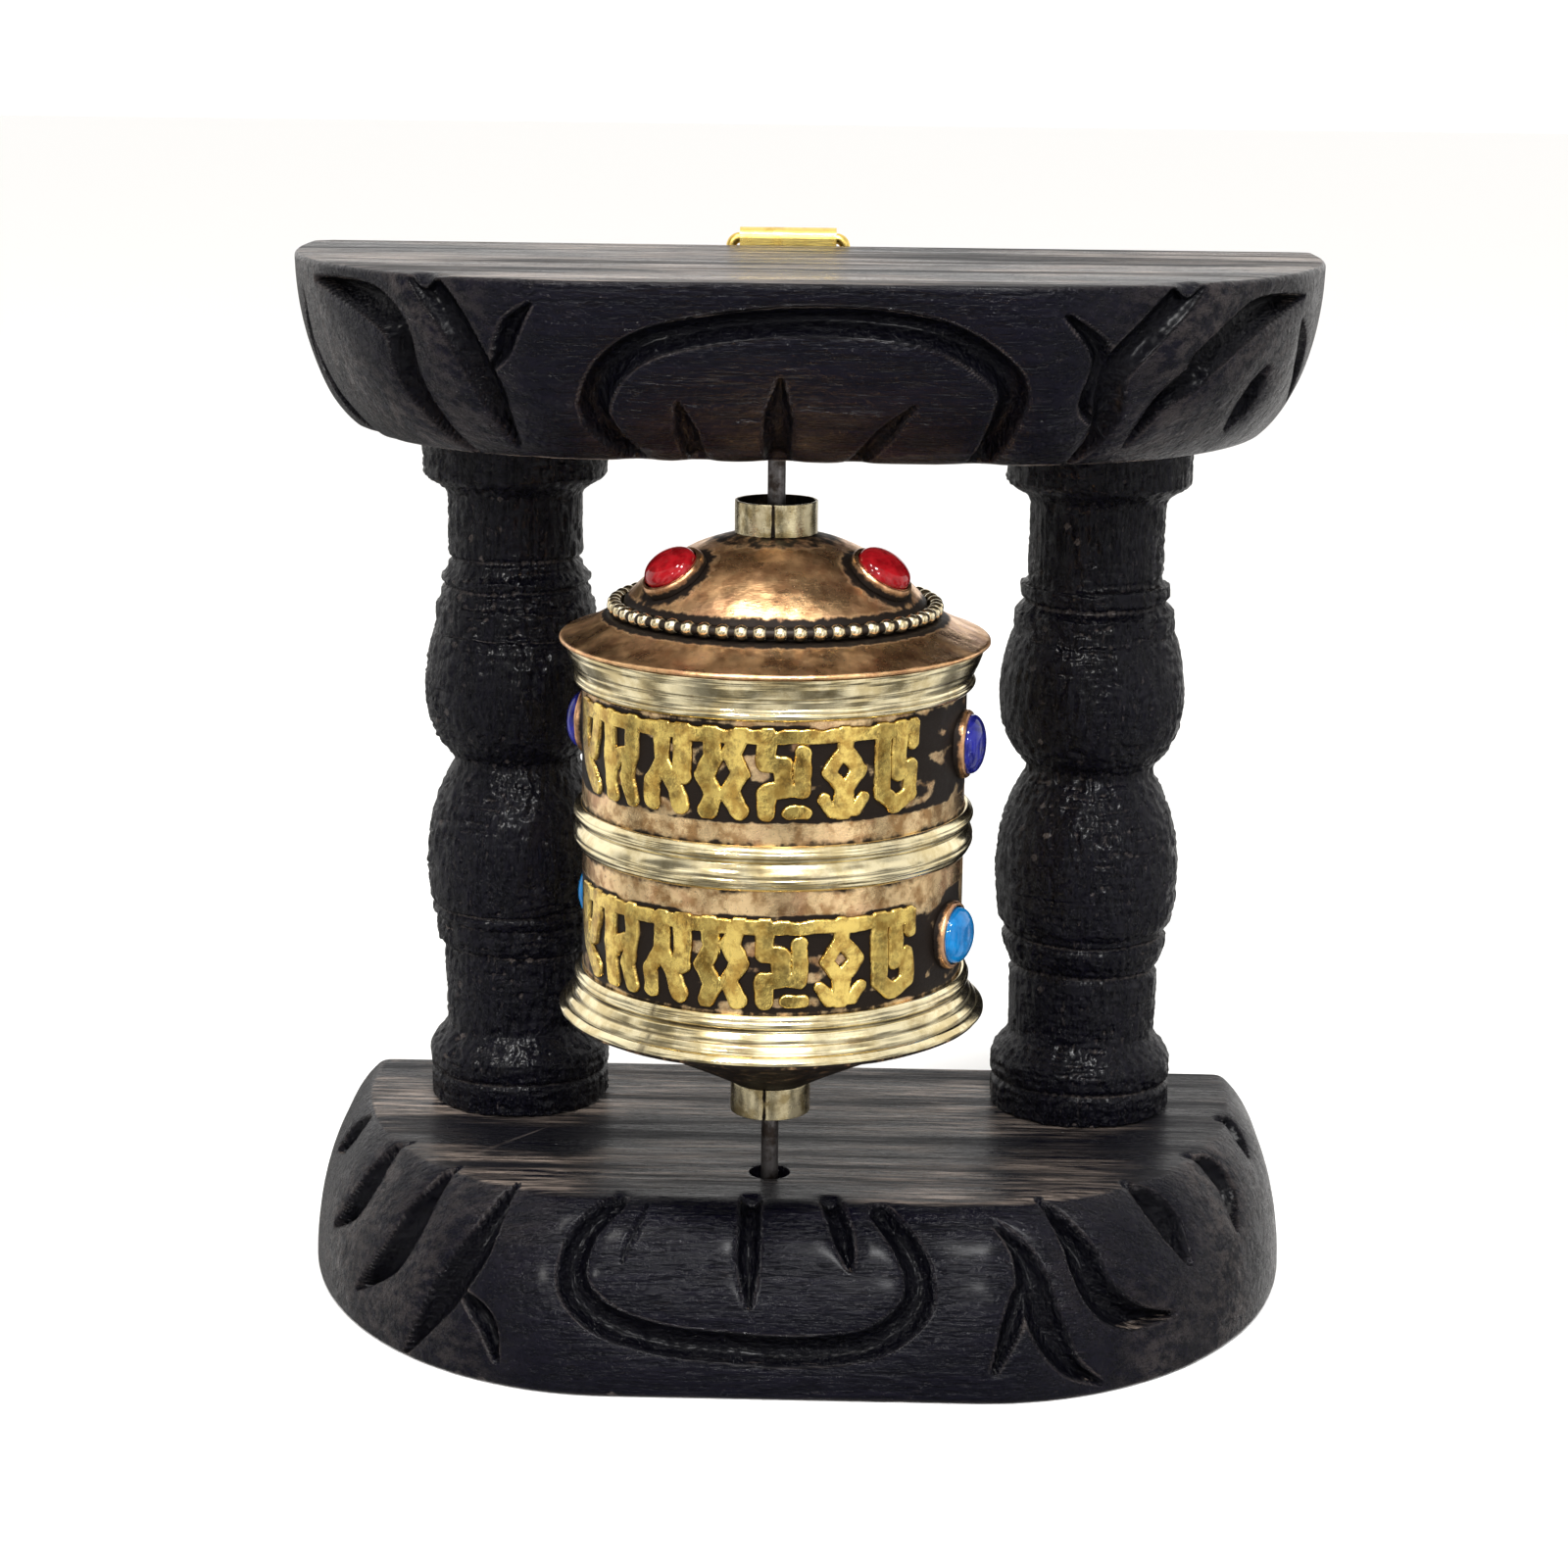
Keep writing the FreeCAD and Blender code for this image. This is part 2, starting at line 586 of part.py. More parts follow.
def screw_shape(z, gap=0.0):
    """A round-headed wood screw through the strap into the top board's back."""
    leaf = 2 * SHEET
    shank = Part.makeCylinder(SCREW_RADIUS + gap, SCREW_LENGTH + leaf + gap,
                              at(0, BACK_Y + leaf, z), at(0, -1, 0))
    head_sphere = (SCREW_HEAD_RADIUS ** 2 + SCREW_HEAD_HEIGHT ** 2) / (2 * SCREW_HEAD_HEIGHT)
    ball = Part.makeSphere(head_sphere, at(0, BACK_Y + leaf + SCREW_HEAD_HEIGHT - head_sphere, z))
    head = Part.makeCylinder(SCREW_HEAD_RADIUS, SCREW_HEAD_HEIGHT, at(0, BACK_Y + leaf, z), BACKWARD)
    return shank.fuse(head.common(ball)) if gap == 0 else shank


def hanger_strap():
    """Brass strip folded double round the ring's wire and screwed flat to the back."""
    half = STRAP_WIDTH / 2
    low = STAND_HEIGHT - STRAP_LENGTH
    leaf = Part.makeBox(STRAP_WIDTH, 2 * SHEET, EYE_Z - low, at(-half, BACK_Y, low))
    leaf = leaf.makeFillet(2.5, [e for e in leaf.Edges if is_lower_corner(e, low)])
    eye = Part.makeCylinder(EYE_OUTER, STRAP_WIDTH, at(-half, EYE_Y, EYE_Z), FORWARD)
    hole = Part.makeCylinder(RING_WIRE_RADIUS + EYE_GAP, STRAP_WIDTH, at(-half, EYE_Y, EYE_Z), FORWARD)
    strap = leaf.fuse(eye).cut(hole)
    for z in screw_heights():
        strap = strap.cut(screw_shape(z, SCREW_HOLE_GAP))
    return strap.removeSplitter()


def is_lower_corner(edge, low):
    ends = [vertex.Point for vertex in edge.Vertexes]
    return all(abs(p.z - low) < 1e-6 for p in ends) and abs(ends[0].x - ends[1].x) < 1e-6


def hanger_screws():
    return Part.makeCompound([screw_shape(z) for z in screw_heights()])


def hanger_ring():
    """Round wire bent to a D, its straight side in the strap's eye, hanging down behind."""
    half = STRAP_WIDTH / 2 + RING_SLACK + RING_WIRE_RADIUS
    bend = RING_SLACK + RING_WIRE_RADIUS
    bow = RING_DROP - RING_WIRE_RADIUS - half

    def p(x, drop):
        return at(x, EYE_Y, EYE_Z - drop)

    knee = bend * (1 - math.sqrt(0.5))
    path = Part.Wire([
        Part.makeLine(p(-half + bend, 0), p(half - bend, 0)),
        Part.Arc(p(half - bend, 0), p(half - knee, knee), p(half, bend)).toShape(),
        Part.makeLine(p(half, bend), p(half, bow)),
        Part.Arc(p(half, bow), p(0, bow + half), p(-half, bow)).toShape(),
        Part.makeLine(p(-half, bow), p(-half, bend)),
        Part.Arc(p(-half, bend), p(-half + knee, knee), p(-half + bend, 0)).toShape(),
    ])
    section = Part.Wire(Part.Circle(p(0, 0), FORWARD, RING_WIRE_RADIUS).toShape())
    return path.makePipeShell([section], True, True)


# ---------------------------------------------------------------- all the pieces

os.makedirs("parts", exist_ok=True)

save("base_board", base_board())
save("top_board", top_board())
for post_name, post_x in post_places().items():
    save(post_name, post(post_x))
save("pivot_cup", pivot_cup())
save("hanger_strap", hanger_strap())
save("hanger_screws", hanger_screws())
save("hanger_ring", hanger_ring())

save("axle", axle())
save("lid", lid())
save("beaded_ring", beaded_ring())
save("barrel", barrel())
save("bottom_cap", bottom_cap())
save("upper_ferrule", upper_ferrule())
save("lower_ferrule", lower_ferrule())
save("mantra_scroll", mantra_scroll())
save("cornice", cornice())
save("middle_band", middle_band())
save("skirt", skirt())

for row, row_z in (("upper", UPPER_FRET_MIDDLE), ("lower", LOWER_FRET_MIDDLE)):
    for number in range(STRIPS_PER_ROW):
        strip_angle = STRIP_MIDDLE + 360 * number / STRIPS_PER_ROW
        save(f"{row}_fret_strip_{number + 1}", fret_strip(strip_angle, row_z))

stones_on_dome()
stones_on_barrel("lapis", LAPIS_COUNT, LAPIS_ANGLE, UPPER_FRET_MIDDLE)
stones_on_barrel("turquoise", TURQUOISE_COUNT, TURQUOISE_ANGLE, LOWER_FRET_MIDDLE)
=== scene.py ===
import math
import random

import bmesh
import bpy
import numpy as np
from mathutils import Matrix, Vector, noise


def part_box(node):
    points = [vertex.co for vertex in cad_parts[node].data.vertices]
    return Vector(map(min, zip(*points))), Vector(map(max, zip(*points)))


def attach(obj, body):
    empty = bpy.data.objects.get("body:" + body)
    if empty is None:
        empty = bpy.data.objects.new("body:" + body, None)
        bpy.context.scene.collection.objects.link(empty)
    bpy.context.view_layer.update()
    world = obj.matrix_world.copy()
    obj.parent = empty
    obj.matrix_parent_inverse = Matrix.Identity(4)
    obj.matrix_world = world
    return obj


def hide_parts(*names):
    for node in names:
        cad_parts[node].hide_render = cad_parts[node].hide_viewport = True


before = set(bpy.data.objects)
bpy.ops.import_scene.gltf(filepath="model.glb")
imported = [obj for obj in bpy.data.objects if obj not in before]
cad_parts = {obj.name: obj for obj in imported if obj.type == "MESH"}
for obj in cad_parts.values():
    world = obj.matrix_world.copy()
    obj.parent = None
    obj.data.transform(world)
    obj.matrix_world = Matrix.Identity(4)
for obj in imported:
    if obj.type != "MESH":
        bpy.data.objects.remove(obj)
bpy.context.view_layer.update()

# ---------------------------------------------------------------------------
# Base board and top board
# Two thick hardwood boards with a flat back, bowl-shaped sides and a crisp inner
# edge. Petals are cut into their sides with a gouge, the holes are drilled, and
# the wood is stained black and rubbed, so raised edges wear to grey-brown.

MM = 0.001
SIDE_INSET = 8.5 * MM         # how far a board's inner face steps in at the ends
FRONT_INSET = 13.0 * MM       # and at the front
END_ROUND_WIDTH = 50.0 * MM
END_STRAIGHT = 9.5 * MM
BOWL_REACH = 0.94             # share of a quarter ellipse that the bowl's side follows
BACK_CORNER = 0.9 * MM
OUTER_EDGE_ROUND = 0.7 * MM
INNER_EDGE_ROUND = 0.5 * MM
SPINE_SHARE = 0.55            # length of the line that a face's rows close on
CUT_RUN_OUT = 2.2 * MM
BASE_HOLE_RADIUS = 3.0 * MM
BASE_HOLE_FLOOR = 10.0 * MM
TOP_HOLE_DEPTH = 10.0 * MM
TOP_HOLE_RADIUS = 1.33 * MM
SOCKET_RADIUS = 6.1 * MM
SOCKET_DEPTH = 11.2 * MM
FRONT_COLUMNS, BACK_COLUMNS, SIDE_ROWS = 620, 90, 84


def placed_object(name, data):
    """A new object that is part of the scene."""
    made = bpy.data.objects.new(name, data)
    bpy.context.scene.collection.objects.link(made)
    return made


def grid_faces(rows, columns, closed_columns=False, closed_rows=False):
    """The four corner numbers of every cell in a grid of points."""
    index = np.arange(rows * columns).reshape(rows, columns)
    if closed_columns:
        index = np.concatenate([index, index[:, :1]], axis=1)
    if closed_rows:
        index = np.concatenate([index, index[:1]], axis=0)
    return np.stack([index[:-1, :-1], index[:-1, 1:], index[1:, 1:], index[1:, :-1]], axis=-1)


def finished_object(name, points, faces, layers):
    """Make the object, merge doubled points, turn its faces outwards and shade it smooth."""
    mesh = bpy.data.meshes.new(name)
    mesh.from_pydata(points.reshape(-1, 3).tolist(), [], faces.reshape(-1, 4).tolist())
    for label, values in layers.items():
        layer = mesh.attributes.new(label, "FLOAT", "POINT")
        layer.data.foreach_set("value", np.ascontiguousarray(values, np.float32).ravel())
    work = bmesh.new()
    work.from_mesh(mesh)
    bmesh.ops.remove_doubles(work, verts=work.verts, dist=0.002 * MM)
    bmesh.ops.dissolve_degenerate(work, edges=work.edges, dist=0.001 * MM)
    bmesh.ops.recalc_face_normals(work, faces=work.faces)
    work.to_mesh(mesh)
    work.free()
    mesh.shade_smooth()
    return placed_object("finished_" + name, mesh)


def smooth_line(points, count=40):
    """A Catmull-Rom line through a few points, sampled evenly in its parameter."""
    p = np.array(points, float)
    p = np.vstack([2 * p[0] - p[1], p, 2 * p[-1] - p[-2]])
    line = []
    for t in np.linspace(0, len(p) - 3 - 1e-6, count):
        f = t - int(t)
        a, b, c, d = p[int(t):int(t) + 4]
        line.append(0.5 * (2 * b + (c - a) * f + (2 * a - 5 * b + 4 * c - d) * f ** 2
                           + (3 * b - a - 3 * c + d) * f ** 3))
    return np.array(line)


def distance_along(line):
    return np.concatenate([[0], np.cumsum(np.linalg.norm(np.diff(line, axis=0), axis=1))])


def even_line(line, count=0, step=1.0):
    """The same line through evenly spaced points, by their number or about a step apart."""
    length = distance_along(line)
    even = np.linspace(0, length[-1], count or max(24, int(length[-1] / step)))
    return np.stack([np.interp(even, length, line[:, 0]), np.interp(even, length, line[:, 1])], 1)


def speckle(points, size, seed=0.0):
    """Soft noise from -1 to 1 at each point, with features of the given size."""
    flat = points.reshape(-1, 3) / np.array(size) + seed
    return np.array([noise.noise(p) for p in flat.tolist()]).reshape(points.shape[:-1])


def uneven(points, size_mm, seed):
    """The same noise from 0 to 1, at points in metres."""
    return 0.5 + 0.5 * speckle(points, size_mm * MM, seed)


def inset_share(height):
    """How far in the bowl's side has come at a share of the board's thickness."""
    full = 1 - math.sqrt(1 - BOWL_REACH ** 2)
    return (1 - math.sqrt(1 - (BOWL_REACH * height) ** 2)) / full


def board_level(low, high, inset, edge):
    """One closed level of a board, its first columns being the carved front and ends."""
    half = (high.x - low.x) / 2 - SIDE_INSET * inset - edge
    front = low.y + FRONT_INSET * inset + edge
    straight = (high.x - low.x) / 2 - END_ROUND_WIDTH
    start = high.y - END_STRAIGHT
    turn = np.linspace(0, math.pi / 2, 120)
    x = np.concatenate([[0], straight + (half - straight) * np.sin(turn),
                        half - BACK_CORNER + BACK_CORNER * np.cos(turn)])
    y = np.concatenate([[front], start - (start - front) * np.cos(turn),
                        high.y - edge - BACK_CORNER + BACK_CORNER * np.sin(turn)])
    both = np.stack([np.concatenate([x[::-1], -x[1:]]), np.concatenate([y[::-1], y[1:]])], 1)
    carved = even_line(both, FRONT_COLUMNS)
    across = np.linspace(0, 1, BACK_COLUMNS + 2)[1:-1, None]
    return np.vstack([carved, carved[-1] + (carved[0] - carved[-1]) * across])


def side_rows(thickness):
    """(share of the thickness, inset by the rounded edge) of every row of a board's side."""
    turns = np.linspace(0, math.pi / 2, 5)
    first, last = OUTER_EDGE_ROUND / thickness, 1 - INNER_EDGE_ROUND / thickness
    rows = [(first * (1 - math.cos(t)), OUTER_EDGE_ROUND * (1 - math.sin(t))) for t in turns]
    rows += [(height, 0.0) for height in np.linspace(first, last, SIDE_ROWS)[1:]]
    return rows + [(last + (1 - last) * math.sin(t), INNER_EDGE_ROUND * (1 - math.cos(t)))
                   for t in turns[1:]]


def carve(here, strokes, down_side, thickness):
    """How deep each place is cut, and a mask that is 1 on the bottom of a cut."""
    cut, shoulder = np.zeros(here.shape[:2]), np.zeros(here.shape[:2])
    for points, width, depth, (blunt_start, blunt_end) in strokes:
        flat = [(a * MM, down_side(min(h, 1)) + max(h - 1, 0) * thickness) for a, h in points]
        line = even_line(smooth_line(flat), step=0.3 * MM)
        share = np.linspace(0, 1, len(line))
        taper = np.minimum(1, (share + 0.3 * blunt_start) / 0.38) ** 0.8
        taper *= np.minimum(1, (1 - share + 0.3 * blunt_end) / 0.38) ** 0.8
        nearest = np.full(here.shape[:2], 9.0)
        for spot, size in zip(line, taper):
            reach = np.linalg.norm(here - spot, axis=-1) / max(width * MM / 2 * size, 1e-6)
            nearest = np.minimum(nearest, reach)
        cut = np.maximum(cut, np.clip(1 - nearest ** 2, 0, None) ** 0.8 * depth * MM)
        rounding = np.exp(-np.clip(nearest - 1, 0, None) * 1.6) * 0.14 * depth * MM
        shoulder = np.maximum(shoulder, rounding)
    return np.maximum(cut, shoulder), np.clip(cut / (0.6 * MM), 0, 1)


def face_rows(rim, cut_rim, centre_x):
    """Rows that close a flat face from its rim in to a short line in its middle. Cuts
    that pass the rim run out over the first few millimetres of the face."""
    half = np.ptp(rim[:, 0]) / 2 * SPINE_SHARE
    spine = rim.copy()
    spine[:, 0] = np.clip(rim[:, 0] - centre_x, -half, half) + centre_x
    spine[:, 1] = (rim[:, 1].min() + rim[:, 1].max()) / 2
    inwards = spine - rim
    reach = np.linalg.norm(inwards, axis=1)[None, :, None]
    near = np.linspace(0, CUT_RUN_OUT, 9)[1:, None, None] / reach
    far = near[-1] + (1 - near[-1]) * np.linspace(0, 1, 15)[1:, None, None]
    shares = np.concatenate([near, far])
    fading = np.clip(1 - shares * reach / CUT_RUN_OUT, 0, 1) ** 2
    return rim + inwards * shares + (cut_rim - rim) * fading


def carved_board(node, strokes, outer_is_low, seed):
    """The carved board, with its cuts and its rubbed ends kept as masks."""
    low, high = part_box(node)
    centre_x, thickness = (low.x + high.x) / 2, high.z - low.z
    outer_z, inner_z = (low.z, high.z) if outer_is_low else (high.z, low.z)
    rows = side_rows(thickness)
    grid = np.array([np.column_stack([
        board_level(low, high, inset_share(height), edge) + [centre_x, 0],
        np.full(FRONT_COLUMNS + BACK_COLUMNS, outer_z + (inner_z - outer_z) * height)])
        for height, edge in rows])
    down = distance_along(grid[:, FRONT_COLUMNS // 2])
    middle_level = board_level(low, high, inset_share(0.5), 0)[:FRONT_COLUMNS]
    length = distance_along(middle_level)[-1]
    along = np.linspace(length / 2, -length / 2, FRONT_COLUMNS)
    here = np.stack(np.meshgrid(along, down), axis=-1)
    heights = [height for height, edge in rows]
    cut, mask = [np.pad(each, ((0, 0), (0, BACK_COLUMNS))) for each in
                 carve(here, strokes, lambda share: np.interp(share, heights, down), thickness)]
    around = np.roll(grid, -1, axis=1) - np.roll(grid, 1, axis=1)
    normal = np.cross(around, np.gradient(grid, axis=0))
    normal /= np.linalg.norm(normal, axis=2, keepdims=True) + 1e-12
    normal *= np.sign((normal * (grid - grid.mean(axis=(0, 1)))).sum(axis=2, keepdims=True))
    waver = 0.10 * MM * speckle(grid, 14 * MM, seed) + 0.05 * MM * speckle(grid, 3 * MM, seed + 5)
    torn = 0.10 * MM * speckle(grid, 1.1 * MM, seed + 9) * mask
    inwards = cut + np.clip(waver, 0, None) + torn + 0.02 * MM
    inwards[:, FRONT_COLUMNS:] = 0
    side = grid - normal * np.clip(inwards, 0, None)[..., None]
    side[..., 2] = np.clip(side[..., 2], low.z, high.z)
    outer = face_rows(grid[0], side[0], centre_x)[::-1]
    whole = np.concatenate([outer, side, face_rows(grid[-1], side[-1], centre_x)])
    on_side = slice(len(outer), len(outer) + len(side))
    cut_layer, rub_layer = np.zeros(whole.shape[:2]), np.zeros(whole.shape[:2])
    cut_layer[on_side] = mask
    handled = np.clip((np.abs(along) / MM - 34) / 30, 0, 1)
    patchy = np.clip(0.5 + 1.3 * speckle(grid[:, :FRONT_COLUMNS], 16 * MM, seed), 0, 1)
    rub_layer[on_side, :FRONT_COLUMNS] = handled * patchy
    return finished_object(node, whole, grid_faces(*whole.shape[:2], closed_columns=True),
                           {"cut": cut_layer, "rub": rub_layer})


def drill(piece, holes):
    """Cut round holes, each given as (x, y, radius, lower z, upper z), out of a piece."""
    work = bmesh.new()
    for x, y, radius, low, high in holes:
        middle = Matrix.Translation((x, y, (low + high) / 2))
        bmesh.ops.create_cone(work, cap_ends=True, segments=72, radius1=radius, radius2=radius,
                              depth=high - low, matrix=middle)
    drills = placed_object("drills", bpy.data.meshes.new("drills"))
    work.to_mesh(drills.data)
    work.free()
    cutter = piece.modifiers.new("drilled", "BOOLEAN")
    cutter.operation, cutter.solver, cutter.object = "DIFFERENCE", "EXACT", drills
    depsgraph = bpy.context.evaluated_depsgraph_get()
    drilled = bpy.data.meshes.new_from_object(piece.evaluated_get(depsgraph))
    piece.modifiers.remove(cutter)
    piece.data = drilled
    bpy.data.objects.remove(drills)


class Paint:
    """Short calls that add shader nodes to a material or a node group and join them."""

    def __init__(self, tree):
        self.tree = tree

    def add(self, kind, joins=None, **settings):
        node = self.tree.nodes.new(kind if kind.startswith("Node") else "ShaderNode" + kind)
        for name, value in settings.items():
            setattr(node, name, value)
        self.join(node, joins or {})
        return node

    def join(self, node, joins):
        for socket, value in joins.items():
            if isinstance(value, bpy.types.NodeSocket):
                self.tree.links.new(value, node.inputs[socket])
            else:
                node.inputs[socket].default_value = value

    def maths(self, what, total, *others):
        for value in others:
            total = self.add("Math", {0: total, 1: value}, operation=what).outputs[0]
        return total

    def times(self, *values):
        return self.maths("MULTIPLY", *values)

    def plus(self, *values):
        return self.maths("ADD", *values)

    def most(self, *values):
        return self.maths("MAXIMUM", *values)

    def less(self, *values):
        return self.maths("SUBTRACT", *values)

    def span(self, value, low, high, start=0.0, end=1.0):
        """Ease a value from low..high over to start..end, held at both ends."""
        joins = {0: value, 1: low, 2: high, 3: start, 4: end}
        return self.add("MapRange", joins, interpolation_type="SMOOTHSTEP").outputs[0]

    def mix(self, share, *colours):
        first, second = [(*c, 1) if isinstance(c, tuple) else c for c in colours]
        return self.add("Mix", {0: share, 6: first, 7: second}, data_type="RGBA").outputs[2]

    def stretched(self, where, stretch):
        return self.add("VectorMath", {0: where, 1: stretch}, operation="MULTIPLY").outputs[0]

    def spot(self, stretch=(1, 1, 1)):
        """The surface point in millimetres in the object's own frame, stretched along axes."""
        place = self.add("TexCoord").outputs["Object"]
        return self.stretched(place, [share / MM for share in stretch])

    def noise(self, size, detail, rough, stretch=(1, 1, 1), where=None, bend=0.0):
        joins = {"Vector": where or self.spot(stretch), "Scale": 1 / size, "Detail": detail,
                 "Roughness": rough, "Distortion": bend}
        return self.add("TexNoise", joins).outputs[0]

    def patches(self, size, detail, rough, low, high, **where):
        """Noise with its values between low and high spread over 0 to 1."""
        return self.span(self.noise(size, detail, rough, **where), low, high)

    def layer(self, label):
        return self.add("Attribute", attribute_name=label).outputs["Fac"]

    def bump(self, height, depth_mm, **under):
        joins = {"Height": height, "Distance": depth_mm * MM, "Strength": 1.0, **under}
        return self.add("Bump", joins).outputs[0]


def effect(name, inputs, outputs):
    """A new shader node group with named values in and out, ready to be filled."""
    tree = bpy.data.node_groups.new(name, "ShaderNodeTree")
    for label, value in inputs.items():
        kind = "NodeSocketVector" if isinstance(value, list) else "NodeSocketFloat"
        tree.interface.new_socket(label, in_out="INPUT", socket_type=kind).default_value = value
    for label in outputs:
        tree.interface.new_socket(label, in_out="OUTPUT", socket_type="NodeSocketFloat")
    paint = Paint(tree)
    return paint, paint.add("NodeGroupInput").outputs


def new_material(name, group=None, **values):
    """A material with one Principled shader, and an effect placed in it with its values."""
    made = bpy.data.materials.new(name)
    made.use_nodes = True
    made.node_tree.nodes.clear()
    paint = Paint(made.node_tree)
    shader = paint.add("BsdfPrincipled")
    paint.add("OutputMaterial", {"Surface": shader.outputs[0]})
    placed = paint.add("Group", values, node_tree=group).outputs if group else None
    return made, paint, shader, placed


def dress(piece, made, slot, body, *nodes):
    """Give a piece its material and its body, and hide the CAD nodes it stands for. slot is not used."""
    piece.data.materials.clear()
    piece.data.materials.append(made)
    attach(piece, body)
    if nodes:
        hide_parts(*nodes)


# Grain lines, open pores, worn edges, streaks and clouds of a stained hardwood, and fibre tips that are
# painted pale as glints.
paint, given = effect("wood grain", {"Stretch": [0.07, 1.0, 1.0]},
                      ("Grain", "Pores", "Wear", "Cloud", "Streak", "Stained", "PaintedGlints", "Grit"))
spot = paint.stretched(paint.spot(), given["Stretch"])
broad = paint.noise(2.6, 5.0, 0.6, where=spot, bend=0.7)
fine = paint.noise(0.80, 4.0, 0.65, where=spot)
edge = paint.span(paint.add("NewGeometry").outputs["Pointiness"], 0.515, 0.575)
patchy = paint.patches(9.0, 4.0, 0.6, 0.42, 0.66)
half_stretch = paint.add("VectorMath", {0: given["Stretch"], 1: (0.5, 0.5, 0.5), 2: (0.1, 0.1, 0.1)},
                         operation="MULTIPLY_ADD").outputs[0]
# Painted glints: a sparse mask of fibre tips that are painted pale where light would catch them.
painted_glints = paint.patches(0.35, 3.0, 0.7, 0.60, 0.68, where=paint.stretched(paint.spot(), half_stretch))
paint.add("NodeGroupOutput", {
    "Grain": paint.plus(paint.times(broad, 0.45), paint.times(fine, 0.55)),
    "Pores": paint.patches(0.3, 2.0, 0.5, 0.56, 0.66, where=spot),
    "Wear": paint.times(edge, paint.plus(paint.times(patchy, 0.8), 0.2)),
    "Cloud": paint.patches(6.0, 5.0, 0.65, 0.34, 0.58, where=spot),
    "Streak": paint.patches(0.9, 5.0, 0.7, 0.40, 0.62, where=spot),
    "Stained": paint.patches(22.0, 3.0, 0.5, 0.36, 0.56, stretch=(0.5, 1, 1)),
    "PaintedGlints": paint.times(painted_glints, paint.patches(5.0, 4.0, 0.6, 0.42, 0.62)),
    "Grit": paint.noise(0.95, 3.0, 0.6)})
wood_grain = paint.tree

STAIN_BLACK = (0.0006, 0.0006, 0.0028)
STAIN_BROWN = (0.0020, 0.0017, 0.0050)
# Near-black for the bottoms of the cuts: painted shade.
SHADE_IN_CUTS = (0.0004, 0.0004, 0.0014)
# Grey-brown of worn edges and rubbed ends, also used for the painted glints on fibre tips.
RUBBED_WOOD_AND_GLINT = (0.085, 0.070, 0.064)
# Pale streaky colour of level faces: rubbed bare wood, with a painted sheen.
BARE_WOOD_AND_SHEEN = (0.27, 0.215, 0.18)


def stained_wood(name, stretch, rubbed, is_carved, relief_mm, glint_share, shine):
    """Black-stained wood whose grain runs along the axis that the stretch shortens. Its level faces
    are lightened by the share rubbed, partly rubbed bare and partly a painted sheen; its fibre tips
    are painted pale as glints by the share after relief_mm, and shine is how much of the finish is
    left. relief_mm is the height of its grain."""
    made, paint, shader, grain = new_material(name, wood_grain, Stretch=stretch)
    normal = paint.add("NewGeometry").outputs["Normal"]
    facing_up = paint.add("SeparateXYZ", {0: normal}).outputs[2]
    flat = paint.span(paint.maths("ABSOLUTE", facing_up, 0.0), 0.9, 0.99)
    # Level faces, in streaks and clouds, are painted pale: partly rubbed bare, partly a painted sheen.
    faces = paint.times(flat, rubbed, grain["Cloud"], grain["Streak"], grain["Stained"])
    # Real edge wear, joined with the painted glints on fibre tips.
    worn = paint.most(paint.times(grain["Wear"], 0.75), paint.times(grain["PaintedGlints"], glint_share))
    roughness = paint.plus(paint.span(grain["Grain"], 0.38, 0.62, 0.34, 0.13),
                           paint.times(flat, paint.span(grain["Cloud"], 0.0, 1.0, 0.28, 0.0)))
    height = paint.plus(paint.less(grain["Grain"], paint.times(grain["Pores"], 0.7)),
                        paint.times(grain["Grit"], 0.8), paint.times(flat, grain["Streak"], 0.6))
    colour = paint.mix(paint.span(grain["Grain"], 0.42, 0.62), STAIN_BLACK, STAIN_BROWN)
    if is_carved:
        inside = paint.layer("cut")
        scuffed = paint.patches(1.6, 5.0, 0.65, 0.40, 0.62, stretch=(0.25, 1, 1))
        worn = paint.times(paint.most(worn, paint.times(paint.layer("rub"), scuffed, 0.34)),
                           paint.less(1.0, inside))
        roughness = paint.less(roughness, paint.times(inside, 0.08))
        # Painted shade: the bottoms of the cuts are darkened.
        colour = paint.mix(paint.times(inside, 0.8), colour, SHADE_IN_CUTS)
        height = paint.plus(height, paint.times(paint.noise(0.9, 3.0, 0.6), inside, 2.2))
    # The painted sheen of the level faces goes into the colour here.
    colour = paint.mix(faces, paint.mix(worn, colour, RUBBED_WOOD_AND_GLINT), BARE_WOOD_AND_SHEEN)
    paint.join(shader, {"Base Color": colour, "Roughness": roughness,
                        "Specular IOR Level": 0.10, "Coat Weight": shine,
                        "Coat Roughness": 0.20, "Normal": paint.bump(height, relief_mm)})
    return made


